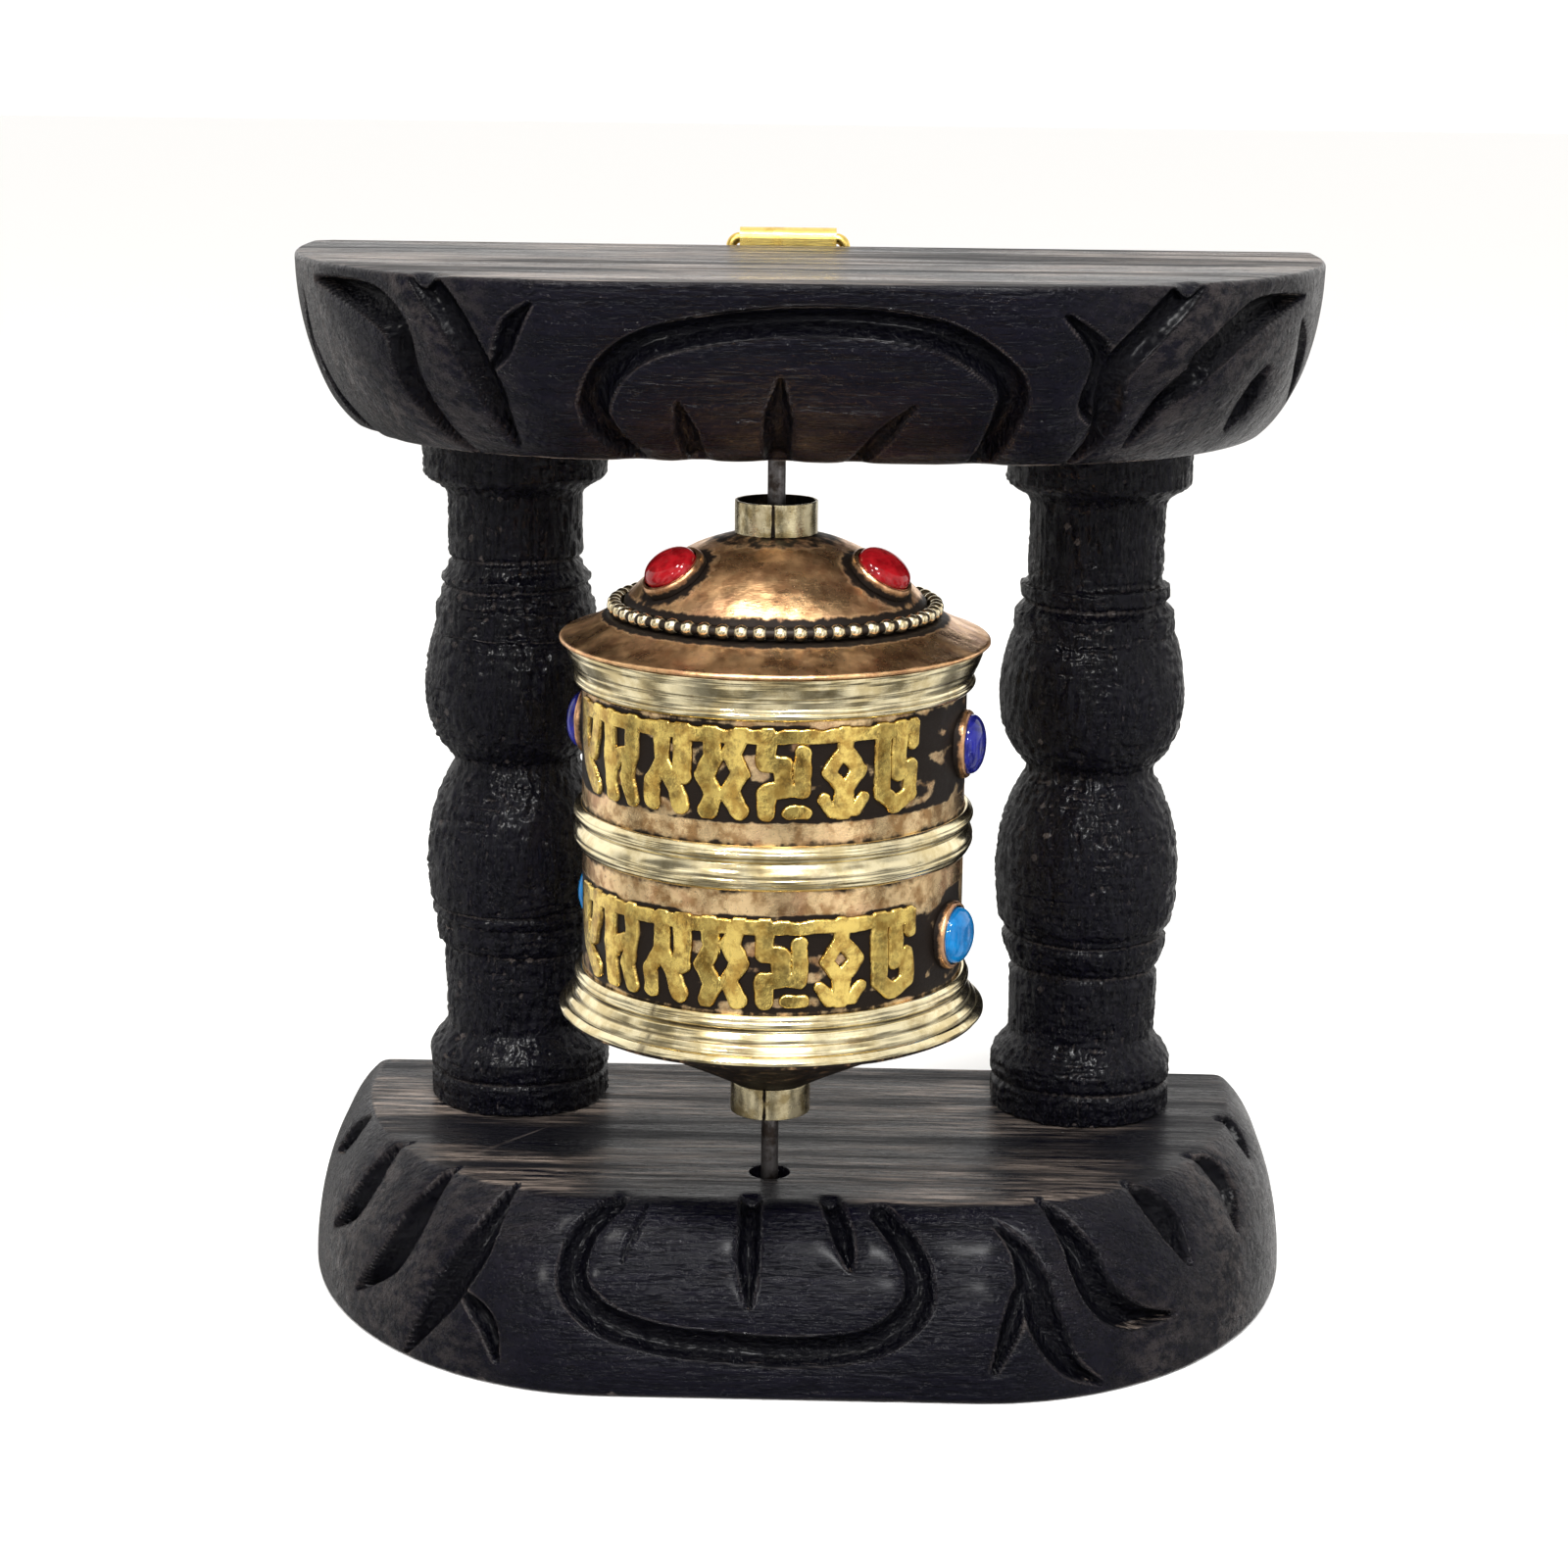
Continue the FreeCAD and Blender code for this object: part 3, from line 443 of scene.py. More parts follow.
# Each cut: its line of (distance round the board in mm, share of the way from the outer
# edge to the inner one), its width and depth in mm, and which of its ends are blunt.
ARCH = (4.4, 2.9, (1, 1))
PETAL = (5.6, 3.3, (0, 0))
THIN = (3.0, 2.1, (0, 0))
top_cuts = [
    ([(-25, .98), (-28, .76), (-27, .60), (-24, .44), (-19, .32), (-10, .24), (0, .20), (10, .21),
      (18, .27), (24, .40), (28, .56), (28, .76), (27, .98)], *ARCH),
    ([(-16.5, .64), (-16, .80), (-15.5, 1.06)], 3.6, 1.7, (0, 1)),
    ([(-2.5, .50), (-3, .74), (-3.5, 1.06)], 4.6, 2.0, (0, 1)),
    ([(15.5, .64), (11.5, .84), (7.5, 1.06)], 3.0, 1.5, (0, 1)),
    ([(-51.5, .02), (-46.5, .24), (-42.5, .60), (-41.5, .94)], 5.0, 2.3, (1, 0)),
    ([(-34.5, .12), (-37.5, .25), (-39.5, .40), (-41.5, .50)], *THIN),
    ([(-79.5, .10), (-64.5, .16), (-57.5, .30), (-56.5, .58), (-53.5, .86), (-50.5, 1.05)], *PETAL),
    ([(-86.5, .46), (-85.5, .80), (-76.5, 1.05)], *PETAL),
    ([(-87.5, .18), (-92.5, .54), (-94.5, .78)], *PETAL),
    ([(-100.5, .20), (-103.5, .50), (-102.5, .85)], *PETAL),
    ([(33.5, .14), (38.5, .32), (39.5, .46), (38.5, .64), (40.5, .76)], *THIN),
    ([(52.5, .02), (46.5, .24), (41.5, .48), (42.5, .76), (40.5, 1.05)], 5.0, 2.3, (1, 0)),
    ([(82.5, .14), (67.5, .20), (57.5, .42), (55.5, .52), (50.5, .66), (47.5, .90)], *PETAL),
    ([(73.5, .50), (71.5, .66), (68.5, .86)], *PETAL),
    ([(82.5, .26), (90.5, .55), (98.5, .80)], *PETAL)]
base_cuts = [
    ([(-28, .98), (-31, .86), (-31.5, .70), (-30, .56), (-25, .42), (-17, .33), (-9, .30), (0, .28),
      (10, .32), (15, .42), (18, .55), (18.5, .70), (17, .84), (14, .96)], 4.6, 2.2, (1, 1)),
    ([(-6.6, 1.06), (-6.1, .78), (-5.6, .50)], 3.8, 1.9, (1, 0)),
    ([(5.8, 1.06), (7.9, .86), (8.9, .70)], 3.6, 1.9, (1, 0)),
    ([(-22.6, .98), (-24.6, .70)], 1.4, 0.5, (0, 0)),
    ([(-48.6, .50), (-44.6, .40), (-42.6, .32), (-40.6, .12)], *THIN),
    ([(-45.6, 1.03), (-46.6, .78), (-49.6, .52), (-53.6, .26), (-57.6, .02)], 5.4, 2.4, (0, 0)),
    ([(-58.6, 1.03), (-60.6, .78), (-63.6, .52), (-71.6, .22)], *PETAL),
    ([(-74.6, 1.03), (-77.6, .70), (-84.6, .42)], *PETAL),
    ([(-91.6, .98), (-94.6, .85), (-98.6, .70)], *PETAL),
    ([(36, .80), (34, .66), (32, .52), (27.9, .16)], *THIN),
    ([(31, .94), (34, .82), (35, .64), (36, .44), (39, .20), (44, .06)], 5.4, 2.4, (0, 0)),
    ([(40, 1.03), (43, .82), (45, .56), (50, .40), (58, .34)], *PETAL),
    ([(57, 1.05), (61, .82), (63, .56)], *PETAL),
    ([(76, 1.05), (80, .84), (78, .58)], *PETAL),
    ([(95, .80), (97, .90), (99, 1.05)], *PETAL)]

board_wood = stained_wood("black stained board", [0.07, 1.0, 1.0], 1.0, True, 0.50, 0.10, 0.05)
OPEN_END = 2 * MM             # how far a drill starts outside the wood
for node, cuts, outer_is_low, seed in (("base_board", base_cuts, True, 3.0),
                                       ("top_board", top_cuts, False, 41.0)):
    board = carved_board(node, cuts, outer_is_low, seed)
    low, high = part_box(node)
    if outer_is_low:
        holes = [(0, 0, BASE_HOLE_RADIUS, BASE_HOLE_FLOOR, high.z + OPEN_END)]
        socket = (high.z - SOCKET_DEPTH, high.z + OPEN_END)
    else:
        holes = [(0, 0, TOP_HOLE_RADIUS, low.z - OPEN_END, low.z + TOP_HOLE_DEPTH)]
        socket = (low.z - OPEN_END, low.z + SOCKET_DEPTH)
    for post in ("left_post", "right_post"):
        middle = sum(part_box(post), Vector()) / 2
        holes.append((middle.x, middle.y, SOCKET_RADIUS, *socket))
    drill(board, holes)
    dress(board, board_wood, "dark_wood", "stand", node)

# ---------------------------------------------------------------------------
# The two posts
# Each post is turned from the same stained hardwood on a hand-fed lathe, so its
# beads and grooves are a little uneven, the grain is torn in places, and the two
# posts differ slightly. Their tenons are glued into sockets in both boards.

CORNER_TURN = math.radians(18)


def turned_outline(node):
    """A turned CAD piece's section as ordered (radius, height) points, whether it is a loop,
    and the place of its axis."""
    centre = sum(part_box(node), Vector()) / 2
    centre.z = 0
    work = bmesh.new()
    work.from_mesh(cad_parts[node].data)
    bmesh.ops.remove_doubles(work, verts=work.verts, dist=1e-6)
    everything = work.verts[:] + work.edges[:] + work.faces[:]
    cut = bmesh.ops.bisect_plane(work, geom=everything, dist=1e-6, plane_co=centre,
                                 plane_no=(0, 1, 0))["geom_cut"]
    near = {v for v in cut if isinstance(v, bmesh.types.BMVert) and v.co.x > centre.x - 1e-6}
    links = {v: [] for v in near}
    for edge in {e for v in near for e in v.link_edges}:
        first, second = edge.verts
        if first in near and second in near and any(abs(f.normal.y) < 0.9 for f in edge.link_faces):
            links[first].append(second)
            links[second].append(first)
    ends = [v for v in near if len(links[v]) == 1]
    start = min(ends or near, key=lambda v: v.co.z)
    path, previous, here = [start], None, start
    while True:
        onward = [v for v in links[here] if v is not previous and v not in path[1:]]
        if not onward or (onward[0] is start):
            break
        previous, here = here, onward[0]
        path.append(here)
    outline = np.array([(v.co.x - centre.x, v.co.z) for v in path])
    work.free()
    closed = np.vstack([outline, outline[:1]])
    area = (closed[:-1, 0] * closed[1:, 1] - closed[1:, 0] * closed[:-1, 1]).sum()
    return (outline if area > 0 else outline[::-1]), not ends, centre


def eased(outline, is_loop, corner, step):
    """Round the corners of an outline and space its points no more than a step apart."""
    count = len(outline)
    smooth = []
    for i, here in enumerate(outline):
        back, on = outline[i - 1] - here, outline[(i + 1) % count] - here
        back_length, on_length = np.linalg.norm(back), np.linalg.norm(on)
        cosine = np.clip(-(back @ on) / (back_length * on_length + 1e-15), -1, 1)
        if (not is_loop and i in (0, count - 1)) or math.acos(cosine) < CORNER_TURN:
            smooth.append(here)
            continue
        start = here + back / back_length * min(corner, back_length * 0.4)
        end = here + on / on_length * min(corner, on_length * 0.4)
        for t in (0.0, 0.25, 0.5, 0.75, 1.0):
            smooth.append((1 - t) ** 2 * start + 2 * t * (1 - t) * here + t ** 2 * end)
    if is_loop:
        smooth.append(smooth[0])
    spaced = []
    for first, second in zip(smooth[:-1], smooth[1:]):
        parts = max(1, math.ceil(np.linalg.norm(second - first) / step))
        spaced += [first + (second - first) * i / parts for i in range(parts)]
    return np.array(spaced if is_loop else spaced + [smooth[-1]])


def spin(name, section, corner_mm, step_mm, segments, sink, **layers):
    """Ease a section and turn it about its axis. sink(points, angle, radius, z) is how far each
    point of the surface lies inside the drawn outline; layers are named functions of the same."""
    outline, is_loop, centre = section
    outline = eased(outline, is_loop, corner_mm * MM, step_mm * MM)
    if is_loop:
        along = np.roll(outline, -1, axis=0) - np.roll(outline, 1, axis=0)
    else:
        along = np.gradient(outline, axis=0)
    along /= np.linalg.norm(along, axis=1, keepdims=True) + 1e-15
    angle = np.linspace(0, 2 * math.pi, segments, endpoint=False)[:, None]
    radius, z = outline[None, :, 0], outline[None, :, 1]

    def placed(r, height):
        return np.stack(np.broadcast_arrays(centre.x + r * np.cos(angle),
                                            centre.y + r * np.sin(angle), height), axis=-1)

    points = placed(radius, z)
    depth = np.clip(sink(points, angle, radius, z), 0, None) * np.minimum(1, radius / (1.0 * MM))
    points = placed(radius - along[None, :, 1] * depth, z + along[None, :, 0] * depth)
    kept = {label: np.broadcast_to(make(points, angle, radius, z), points.shape[:2])
            for label, make in layers.items()}
    faces = grid_faces(*points.shape[:2], closed_columns=is_loop, closed_rows=True)
    return finished_object(name, points, faces, kept)


post_wood = stained_wood("black stained post", [1.0, 1.0, 0.20], 0.2, False, 1.35, 0.32, 0.16)
# Scored lines: (share of the post's height between the boards, depth in mm, width in mm)
scored = {"left_post": [(0.805, 0.7, 0.45), (0.765, 0.6, 0.4), (0.295, 0.6, 0.4), (0.23, 0.5, 0.4),
                        (0.045, 0.5, 0.35), (0.70, 0.25, 0.25)],
          "right_post": [(0.785, 0.6, 0.45), (0.752, 0.7, 0.45), (0.265, 0.7, 0.45),
                         (0.215, 0.7, 0.45), (0.045, 0.6, 0.4), (0.335, 0.2, 0.25)]}
foot_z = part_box("base_board")[1].z
head_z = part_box("top_board")[0].z
LATHE_FEED = 0.55 * MM        # how far the tool moves along the post in a turn
for node, seed in (("left_post", 7.0), ("right_post", 23.0)):

    def lathe_marks(points, angle, radius, z):
        share = (z - foot_z) / (head_z - foot_z)
        score = 0 * z
        for height, depth, width in scored[node]:
            wander = 0.002 * np.sin(angle * 2 + height * 40)
            off = (share - height + wander) * (head_z - foot_z) / (width * MM)
            score = np.maximum(score, depth * MM * np.exp(-off ** 2))
        wound = np.stack(np.broadcast_arrays(angle * 3.0, z / LATHE_FEED, seed), axis=-1)
        lines = speckle(wound, 1.0)
        torn = np.clip(speckle(points, [9 * MM, 9 * MM, 12 * MM], seed) + 0.1, 0, None)
        pits = np.clip(speckle(points, [0.7 * MM, 0.7 * MM, 1.6 * MM], seed), 0, None)
        fibres = speckle(points, [0.75 * MM, 0.75 * MM, 4.0 * MM], seed + 6)
        chewed = np.clip(speckle(points, 1.3 * MM, seed + 8) - 0.1, 0, None)
        return score + MM * (0.16 * uneven(points, 11, seed + 3) + 0.12 + 0.10 * lines
                             + 0.22 * fibres + 0.42 * chewed
                             + torn * (0.9 * np.clip(lines, 0, None) + 0.7 * pits))

    post = spin(node, turned_outline(node), 0.5, 0.36, 250, lathe_marks)
    dress(post, post_wood, "dark_wood", "stand", node)

# ---------------------------------------------------------------------------
# Axle and pivot cup
# The axle is a plain drawn steel rod, dark with oil, that stands in a small steel
# cup let into the base. It turns with the drum.

# Blotches, greasy smudges and fine lines shared by all the metals.
paint, given = effect("fine marks", {"Stretch": [1.0, 1.0, 1.0], "Blotch": 4.0},
                      ("Blotches", "Smudges", "Lines"))
spot = paint.spot()
blotches = paint.add("TexNoise", {"Vector": spot, "Scale": paint.maths("DIVIDE", 1.0, given["Blotch"]),
                                  "Detail": 5.0, "Roughness": 0.62}).outputs[0]
drawn = paint.stretched(spot, given["Stretch"])
paint.add("NodeGroupOutput", {"Blotches": paint.span(blotches, 0.40, 0.64),
                              "Smudges": paint.patches(6.0, 4.0, 0.6, 0.35, 0.7, where=spot),
                              "Lines": paint.noise(0.25, 3.0, 0.6, where=drawn)})
fine_marks = paint.tree


def two_toned(name, light, dark, blotch_mm, stretch=(1, 1, 1)):
    """A new metal with the fine marks placed in it and two tones in soft blotches."""
    made, paint, shader, marks = new_material(name, fine_marks, Stretch=stretch, Blotch=blotch_mm)
    return made, paint, shader, marks, paint.mix(marks["Blotches"], light, dark)


def plain_metal(name, light, dark, rough, blotch_mm, stretch=(1, 1, 1)):
    """A worn metal: two tones, fine scratches and uneven shine."""
    made, paint, shader, marks, colour = two_toned(name, light, dark, blotch_mm, stretch)
    roughness = paint.plus(paint.times(marks["Smudges"], 0.14), paint.times(marks["Lines"], 0.08), rough)
    paint.join(shader, {"Base Color": colour, "Metallic": 1.0, "Roughness": roughness,
                        "Normal": paint.bump(marks["Lines"], 0.02)})
    return made


def repaint(node, made):
    """Give a carried-over CAD piece its finished material in place of the plain one."""
    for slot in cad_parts[node].material_slots:
        slot.material = made
    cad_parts[node].data.shade_smooth()


repaint("axle", plain_metal("dark drawn steel", (0.16, 0.15, 0.15), (0.045, 0.035, 0.03),
                            0.30, 2.0, (1, 1, 0.08)))
repaint("pivot_cup", plain_metal("oily steel", (0.24, 0.23, 0.22), (0.06, 0.05, 0.04), 0.35, 1.0))

# ---------------------------------------------------------------------------
# Paper roll
# A tight roll of thin printed paper fills the drum and is never seen while it is
# closed. Its edges show as fine layers.

made, paint, shader, _ = new_material("rolled paper")
leaves = paint.noise(0.3, 2.0, 0.5, stretch=(1, 1, 0.02))
tone = paint.span(leaves, 0.4, 0.6)
paint.join(shader, {"Base Color": paint.mix(tone, (0.62, 0.52, 0.36), (0.78, 0.70, 0.54)),
                    "Roughness": paint.span(leaves, 0.4, 0.6, 0.75, 0.9),
                    "Normal": paint.bump(leaves, 0.05)})
repaint("mantra_scroll", made)

# ---------------------------------------------------------------------------
# Barrel, bottom cap and lid
# The drum's copper parts: a rolled sheet barrel, a spun and lightly hammered
# domed lid and a shallow spun cap underneath. They are blackened, then rubbed
# back, so the dark stays in the hollows, round the stones and under the strips.

bead_low, bead_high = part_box("beaded_ring")
bead_radius = (bead_high.z - bead_low.z) / 2
bead_line = (bead_high.x - bead_low.x) / 2 - bead_radius
stones = {node: sum(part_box(node), Vector()) / 2 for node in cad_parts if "_stone_" in node}
STONE_SHADOW = 6.4 * MM       # reach of the black left round a stone


def near_stones(points, kinds):
    """1 close to a stone of the given kinds, fading out around its bezel."""
    amount = np.zeros(points.shape[:-1])
    for node, middle in stones.items():
        if node.startswith(kinds):
            away = np.linalg.norm(points - np.array(middle), axis=-1) / STONE_SHADOW
            amount = np.maximum(amount, np.clip(2.1 - 1.6 * away, 0, 1))
    return amount


# The black left on a rubbed metal, from the patina layer and two noises, and a faint blush.
paint, given = effect("black patina", {}, ("Black", "Uneven", "Blush"))
rubbed = paint.noise(1.6, 5.0, 0.65)
left = paint.span(paint.plus(paint.layer("patina"), paint.times(rubbed, 0.9)), 0.72, 1.12)
paint.add("NodeGroupOutput", {
    "Black": paint.most(left, paint.times(paint.patches(0.7, 4.0, 0.7, 0.60, 0.70), 0.65)),
    "Uneven": rubbed,
    "Blush": paint.times(paint.patches(7.0, 3.0, 0.6, 0.45, 0.7), 0.4)})
black_patina = paint.tree


def copper_sheet(name, light, dark, rough, hammer_mm, blush=(0.82, 0.44, 0.27)):
    """Blackened and rubbed copper whose patina layer says where the black was left."""
    made, paint, shader, marks, colour = two_toned(name, light, dark, 2.6, (0.3, 0.3, 1.4))
    patina = paint.add("Group", node_tree=black_patina).outputs
    black = patina["Black"]
    colour = paint.mix(black, paint.mix(patina["Blush"], colour, blush), (0.012, 0.008, 0.006))
    roughness = paint.plus(paint.times(marks["Smudges"], 0.16), rough, paint.times(black, 0.22))
    hammered = paint.bump(paint.noise(2.4, 1.0, 0.4), hammer_mm)
    normal = paint.bump(paint.plus(marks["Lines"], patina["Uneven"]), 0.035, Normal=hammered)
    paint.join(shader, {"Base Color": colour, "Roughness": roughness, "Normal": normal,
                        "Metallic": paint.span(black, 0.2, 1.0, 1.0, 0.55),
                        "Specular IOR Level": 0.2})
    return made


def dented(depth_mm, size_mm, seed):
    return lambda points, angle, radius, z: depth_mm * MM * uneven(points, size_mm, seed)


def barrel_patina(points, angle, radius, z):
    rows = np.zeros(points.shape[:2])
    for node in ("lower_fret_strip_1", "upper_fret_strip_1"):
        low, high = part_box(node)
        inside = np.minimum(z - low.z, high.z - z) / (0.8 * MM)
        rows = np.maximum(rows, np.clip(inside + 0.9, 0, 1))
    for node in ("middle_band", "skirt", "cornice"):
        low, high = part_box(node)
        outside = np.maximum(low.z - z, z - high.z) / (0.9 * MM)
        rows = np.maximum(rows, np.clip(0.75 - 0.5 * outside, 0, 0.7))
    rubbed_through = np.clip(1.05 + 1.3 * speckle(points, [4 * MM, 4 * MM, 2 * MM], 17.0), 0.45, 1)
    return np.maximum(rows * 0.95 * rubbed_through, near_stones(points, ("lapis", "turquoise")))


def lid_patina(points, angle, radius, z):
    lid_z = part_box("lid")[0].z
    across = np.abs(radius - bead_line) / bead_radius
    ring = np.clip(1.9 - 0.8 * across, 0, 1) * (z > bead_low.z - 1.5 * MM)
    ferrule_foot = np.clip(2.9 - radius / (4.3 * MM), 0, 1) * 0.62
    rim_step = np.clip(1.0 - np.abs(z - lid_z - 3.5 * MM) / (1 * MM), 0, 1) * 0.15
    underside = 0.4 * (z < lid_z + 0.5 * MM)
    return np.maximum(np.maximum(np.maximum(ring, rim_step + underside), ferrule_foot),
                      near_stones(points, ("coral",)))


def cap_patina(points, angle, radius, z):
    return 0.55 * np.clip(1 - (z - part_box("bottom_cap")[0].z) / (3 * MM), 0, 1) + 0.68


bronze = copper_sheet("rubbed bronze dome", (1.0, 0.62, 0.31), (0.66, 0.35, 0.165), 0.25, 0.12)
rosy = copper_sheet("rubbed copper sheet", (0.97, 0.71, 0.39), (0.45, 0.26, 0.11), 0.20, 0.06)
for node, made, patina, segments, dent in (("barrel", rosy, barrel_patina, 260, 0.05),
                                           ("bottom_cap", bronze, cap_patina, 200, 0.12),
                                           ("lid", bronze, lid_patina, 320, 0.16)):
    shell = spin(node, turned_outline(node), 0.25, 0.45, segments, dented(dent, 4.0, 11.0),
                 patina=patina)
    dress(shell, made, "copper", "drum", node)

# ---------------------------------------------------------------------------
# Ferrules
# A short collar of brass strip closes round the axle above the lid and below the
# cap. Each is bent to a tube and its ends meet at a seam in front.

brass_collar = copper_sheet("scuffed brass collar", (0.66, 0.58, 0.38), (0.30, 0.23, 0.11), 0.17,
                            0.06, (0.50, 0.42, 0.24))
# Near-black metal for the collars' inward faces: painted shade inside the tube.
shade_inside = plain_metal("painted shade inside", (0.03, 0.022, 0.015), (0.01, 0.008, 0.006), 0.5, 1.0)
SEAM_WIDTH = 0.22 * MM
SEAM_DEPTH = 0.40 * MM
for node, seam_angle, seed in (("upper_ferrule", -1.62, 1.0), ("lower_ferrule", -1.70, 2.0)):
    section = turned_outline(node)
    outer, centre = section[0][:, 0].max(), section[2]

    def from_seam(angle):
        return np.abs(np.angle(np.exp(1j * (angle - seam_angle)))) * outer / SEAM_WIDTH

    def seam_and_dents(points, angle, radius, z):
        seam = SEAM_DEPTH * np.exp(-from_seam(angle) ** 2) * (radius > outer - 0.1 * MM)
        return seam + 0.07 * MM * uneven(points, 3, seed)

    def seam_and_scuffs(points, angle, radius, z):
        ragged = 1.0 + 0.8 * speckle(points, 1.0 * MM, seed + 4)
        return np.exp(-(from_seam(angle) / ragged) ** 2)

    collar = spin(node, section, 0.12, 0.3, 300, seam_and_dents, patina=seam_and_scuffs)
    dress(collar, brass_collar, "pale_brass", "drum", node)
    # The inward faces take the painted shade.
    collar.data.materials.append(shade_inside)
    for face in collar.data.polygons:
        outwards = face.center - centre
        outwards.z = 0
        if face.normal.dot(outwards) < -0.5 * outwards.length:
            face.material_index = 1

# ---------------------------------------------------------------------------
# Beaded ring
# A ring of half-round beaded brass wire is soldered round the foot of the dome.
# Its bead tops are rubbed bright and the solder line behind them stays black.

BEAD_COUNT = 54
WIRE_SHARE = 0.55             # radius of the wire between the beads, as a share of a bead
WIRE_STEPS, WIRE_SIDES = 216, 10
bead_centre_z = (bead_low.z + bead_high.z) / 2
chance = random.Random(54)
beads = bmesh.new()
for number in range(BEAD_COUNT):
    turned = 2 * math.pi * (number + chance.uniform(-0.06, 0.06)) / BEAD_COUNT
    size = bead_radius * chance.uniform(0.93, 0.99)
    place = Vector((bead_line * math.cos(turned), bead_line * math.sin(turned), bead_centre_z))
    stretch = Matrix.Diagonal((1.0, chance.uniform(0.96, 1.06), 1.0, 1.0))
    matrix = Matrix.Translation(place) @ Matrix.Rotation(turned, 4, "Z") @ stretch
    bmesh.ops.create_uvsphere(beads, u_segments=20, v_segments=12, radius=size, matrix=matrix)
wire = []
for step in range(WIRE_STEPS):
    turned = 2 * math.pi * step / WIRE_STEPS
    for part in range(WIRE_SIDES):
        tilt = 2 * math.pi * part / WIRE_SIDES
        radius = bead_line + bead_radius * WIRE_SHARE * math.cos(tilt)
        z = bead_centre_z + bead_radius * WIRE_SHARE * math.sin(tilt)
        wire.append(beads.verts.new((radius * math.cos(turned), radius * math.sin(turned), z)))
for corners in grid_faces(WIRE_STEPS, WIRE_SIDES, True, True).reshape(-1, 4):
    beads.faces.new([wire[corner] for corner in corners])
bmesh.ops.recalc_face_normals(beads, faces=beads.faces)
ring = placed_object("finished_beaded_ring", bpy.data.meshes.new("beaded_ring"))
beads.to_mesh(ring.data)
beads.free()
ring.data.shade_smooth()
made, paint, shader, marks, bright = two_toned("silvery beaded brass", (0.95, 0.84, 0.58),
                                               (0.70, 0.56, 0.32), 1.2)
across = paint.add("VectorMath", {0: paint.spot((1, 1, 0))}, operation="LENGTH").outputs["Value"]
out_off = paint.less(across, bead_line / MM)
up_off = paint.less(paint.add("SeparateXYZ", {0: paint.spot()}).outputs[2], bead_centre_z / MM)
from_wire = paint.maths("SQRT", paint.plus(paint.times(out_off, out_off), paint.times(up_off, up_off)), 0.0)
soot = paint.span(from_wire, 0.56 * bead_radius / MM, 0.74 * bead_radius / MM, 1.0, 0.0)
paint.join(shader, {"Base Color": paint.mix(soot, bright, (0.02, 0.014, 0.01)),
                    "Metallic": paint.less(1.0, paint.times(soot, 0.4)),
                    "Roughness": paint.plus(paint.times(soot, 0.3), 0.2)})
dress(ring, made, "bead_brass", "drum", "beaded_ring")

# ---------------------------------------------------------------------------
# Cornice, middle band and skirt
# Three mouldings rolled from pale brass strip and soldered round the drum. Their
# ridges are polished almost white, and their grooves and edges keep some black.

pale_brass, paint, shader, marks, bright = two_toned("polished pale brass", (0.94, 0.83, 0.54),
                                                     (0.66, 0.54, 0.29), 5.0, (0.04, 0.04, 1.6))
hollow = paint.span(paint.add("NewGeometry").outputs["Pointiness"], 0.44, 0.495, 1.0, 0.0)
stain = paint.patches(3.0, 5.0, 0.65, 0.55, 0.72, stretch=(0.5, 0.5, 1))
warm = paint.mix(paint.times(stain, 0.6), bright, (0.38, 0.25, 0.11))
groove = paint.most(paint.times(hollow, 0.9), paint.layer("groove"))
wavy = paint.bump(paint.noise(5.0, 1.0, 0.4, stretch=(0.6, 0.6, 1)), 0.16)
paint.join(shader, {"Base Color": paint.mix(groove, warm, (0.04, 0.026, 0.014)), "Metallic": 1.0,
                    "Roughness": paint.plus(paint.times(marks["Smudges"], 0.10), 0.11,
                                            paint.times(groove, 0.25)),
                    "Normal": paint.bump(marks["Lines"], 0.012, Normal=wavy)})
# Rolled lines: share of the moulding's height, depth in mm and half width in mm.
rolled_lines = {"cornice": [(0.84, 0.14, 0.14), (0.50, 0.12, 0.14), (0.22, 0.20, 0.18)],
                "middle_band": [(0.86, 0.12, 0.14), (0.70, 0.20, 0.18), (0.30, 0.20, 0.18),
                                (0.13, 0.12, 0.14)],
                "skirt": [(0.88, 0.18, 0.18), (0.66, 0.26, 0.22), (0.42, 0.24, 0.22), (0.22, 0.22, 0.2)]}
JOINT_ANGLE = math.radians(-124)      # where the skirt's ends are soldered together
for node, seed in (("cornice", 3.0), ("middle_band", 5.0), ("skirt", 8.0)):
    low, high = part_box(node)

    def rolled(points, angle, radius, z, widen=1.0):
        share = (z - low.z) / (high.z - low.z)
        line = 0 * z
        for height, depth, width in rolled_lines[node]:
            off = (share - height) * (high.z - low.z) / (width * MM * widen)
            line = np.maximum(line, depth * MM * np.exp(-off ** 2))
        return line + 0.07 * MM * uneven(points, 6, seed)

    def blackened(points, angle, radius, z):
        lines = rolled(points, angle, radius, z, 0.8) - 0.09 * MM
        patchy = 0.75 + 0.6 * speckle(points, [5 * MM, 5 * MM, 2 * MM], seed + 2)
        joint = 0.0
        if node == "skirt":
            away = np.angle(np.exp(1j * (angle - JOINT_ANGLE))) * radius / MM
            away = away + 0.6 * speckle(points, 1.5 * MM, seed)
            joint = 0.8 * np.exp(-(away / 0.28) ** 2)
        return np.clip(np.maximum(lines / (0.16 * MM) * patchy, joint), 0, 0.95)

    moulding = spin(node, turned_outline(node), 0.16, 0.2, 300, rolled, groove=blackened)
    dress(moulding, pale_brass, "pale_brass", "drum", node)

# ---------------------------------------------------------------------------
# Pierced strips
# Four strips of yellow brass, two to a row, fret-sawn by hand into hanging hooks,
# waves, lozenges and key steps below a head rail. They are filed, soldered to the
# blackened barrel and rubbed bright, with brown left on their faces.

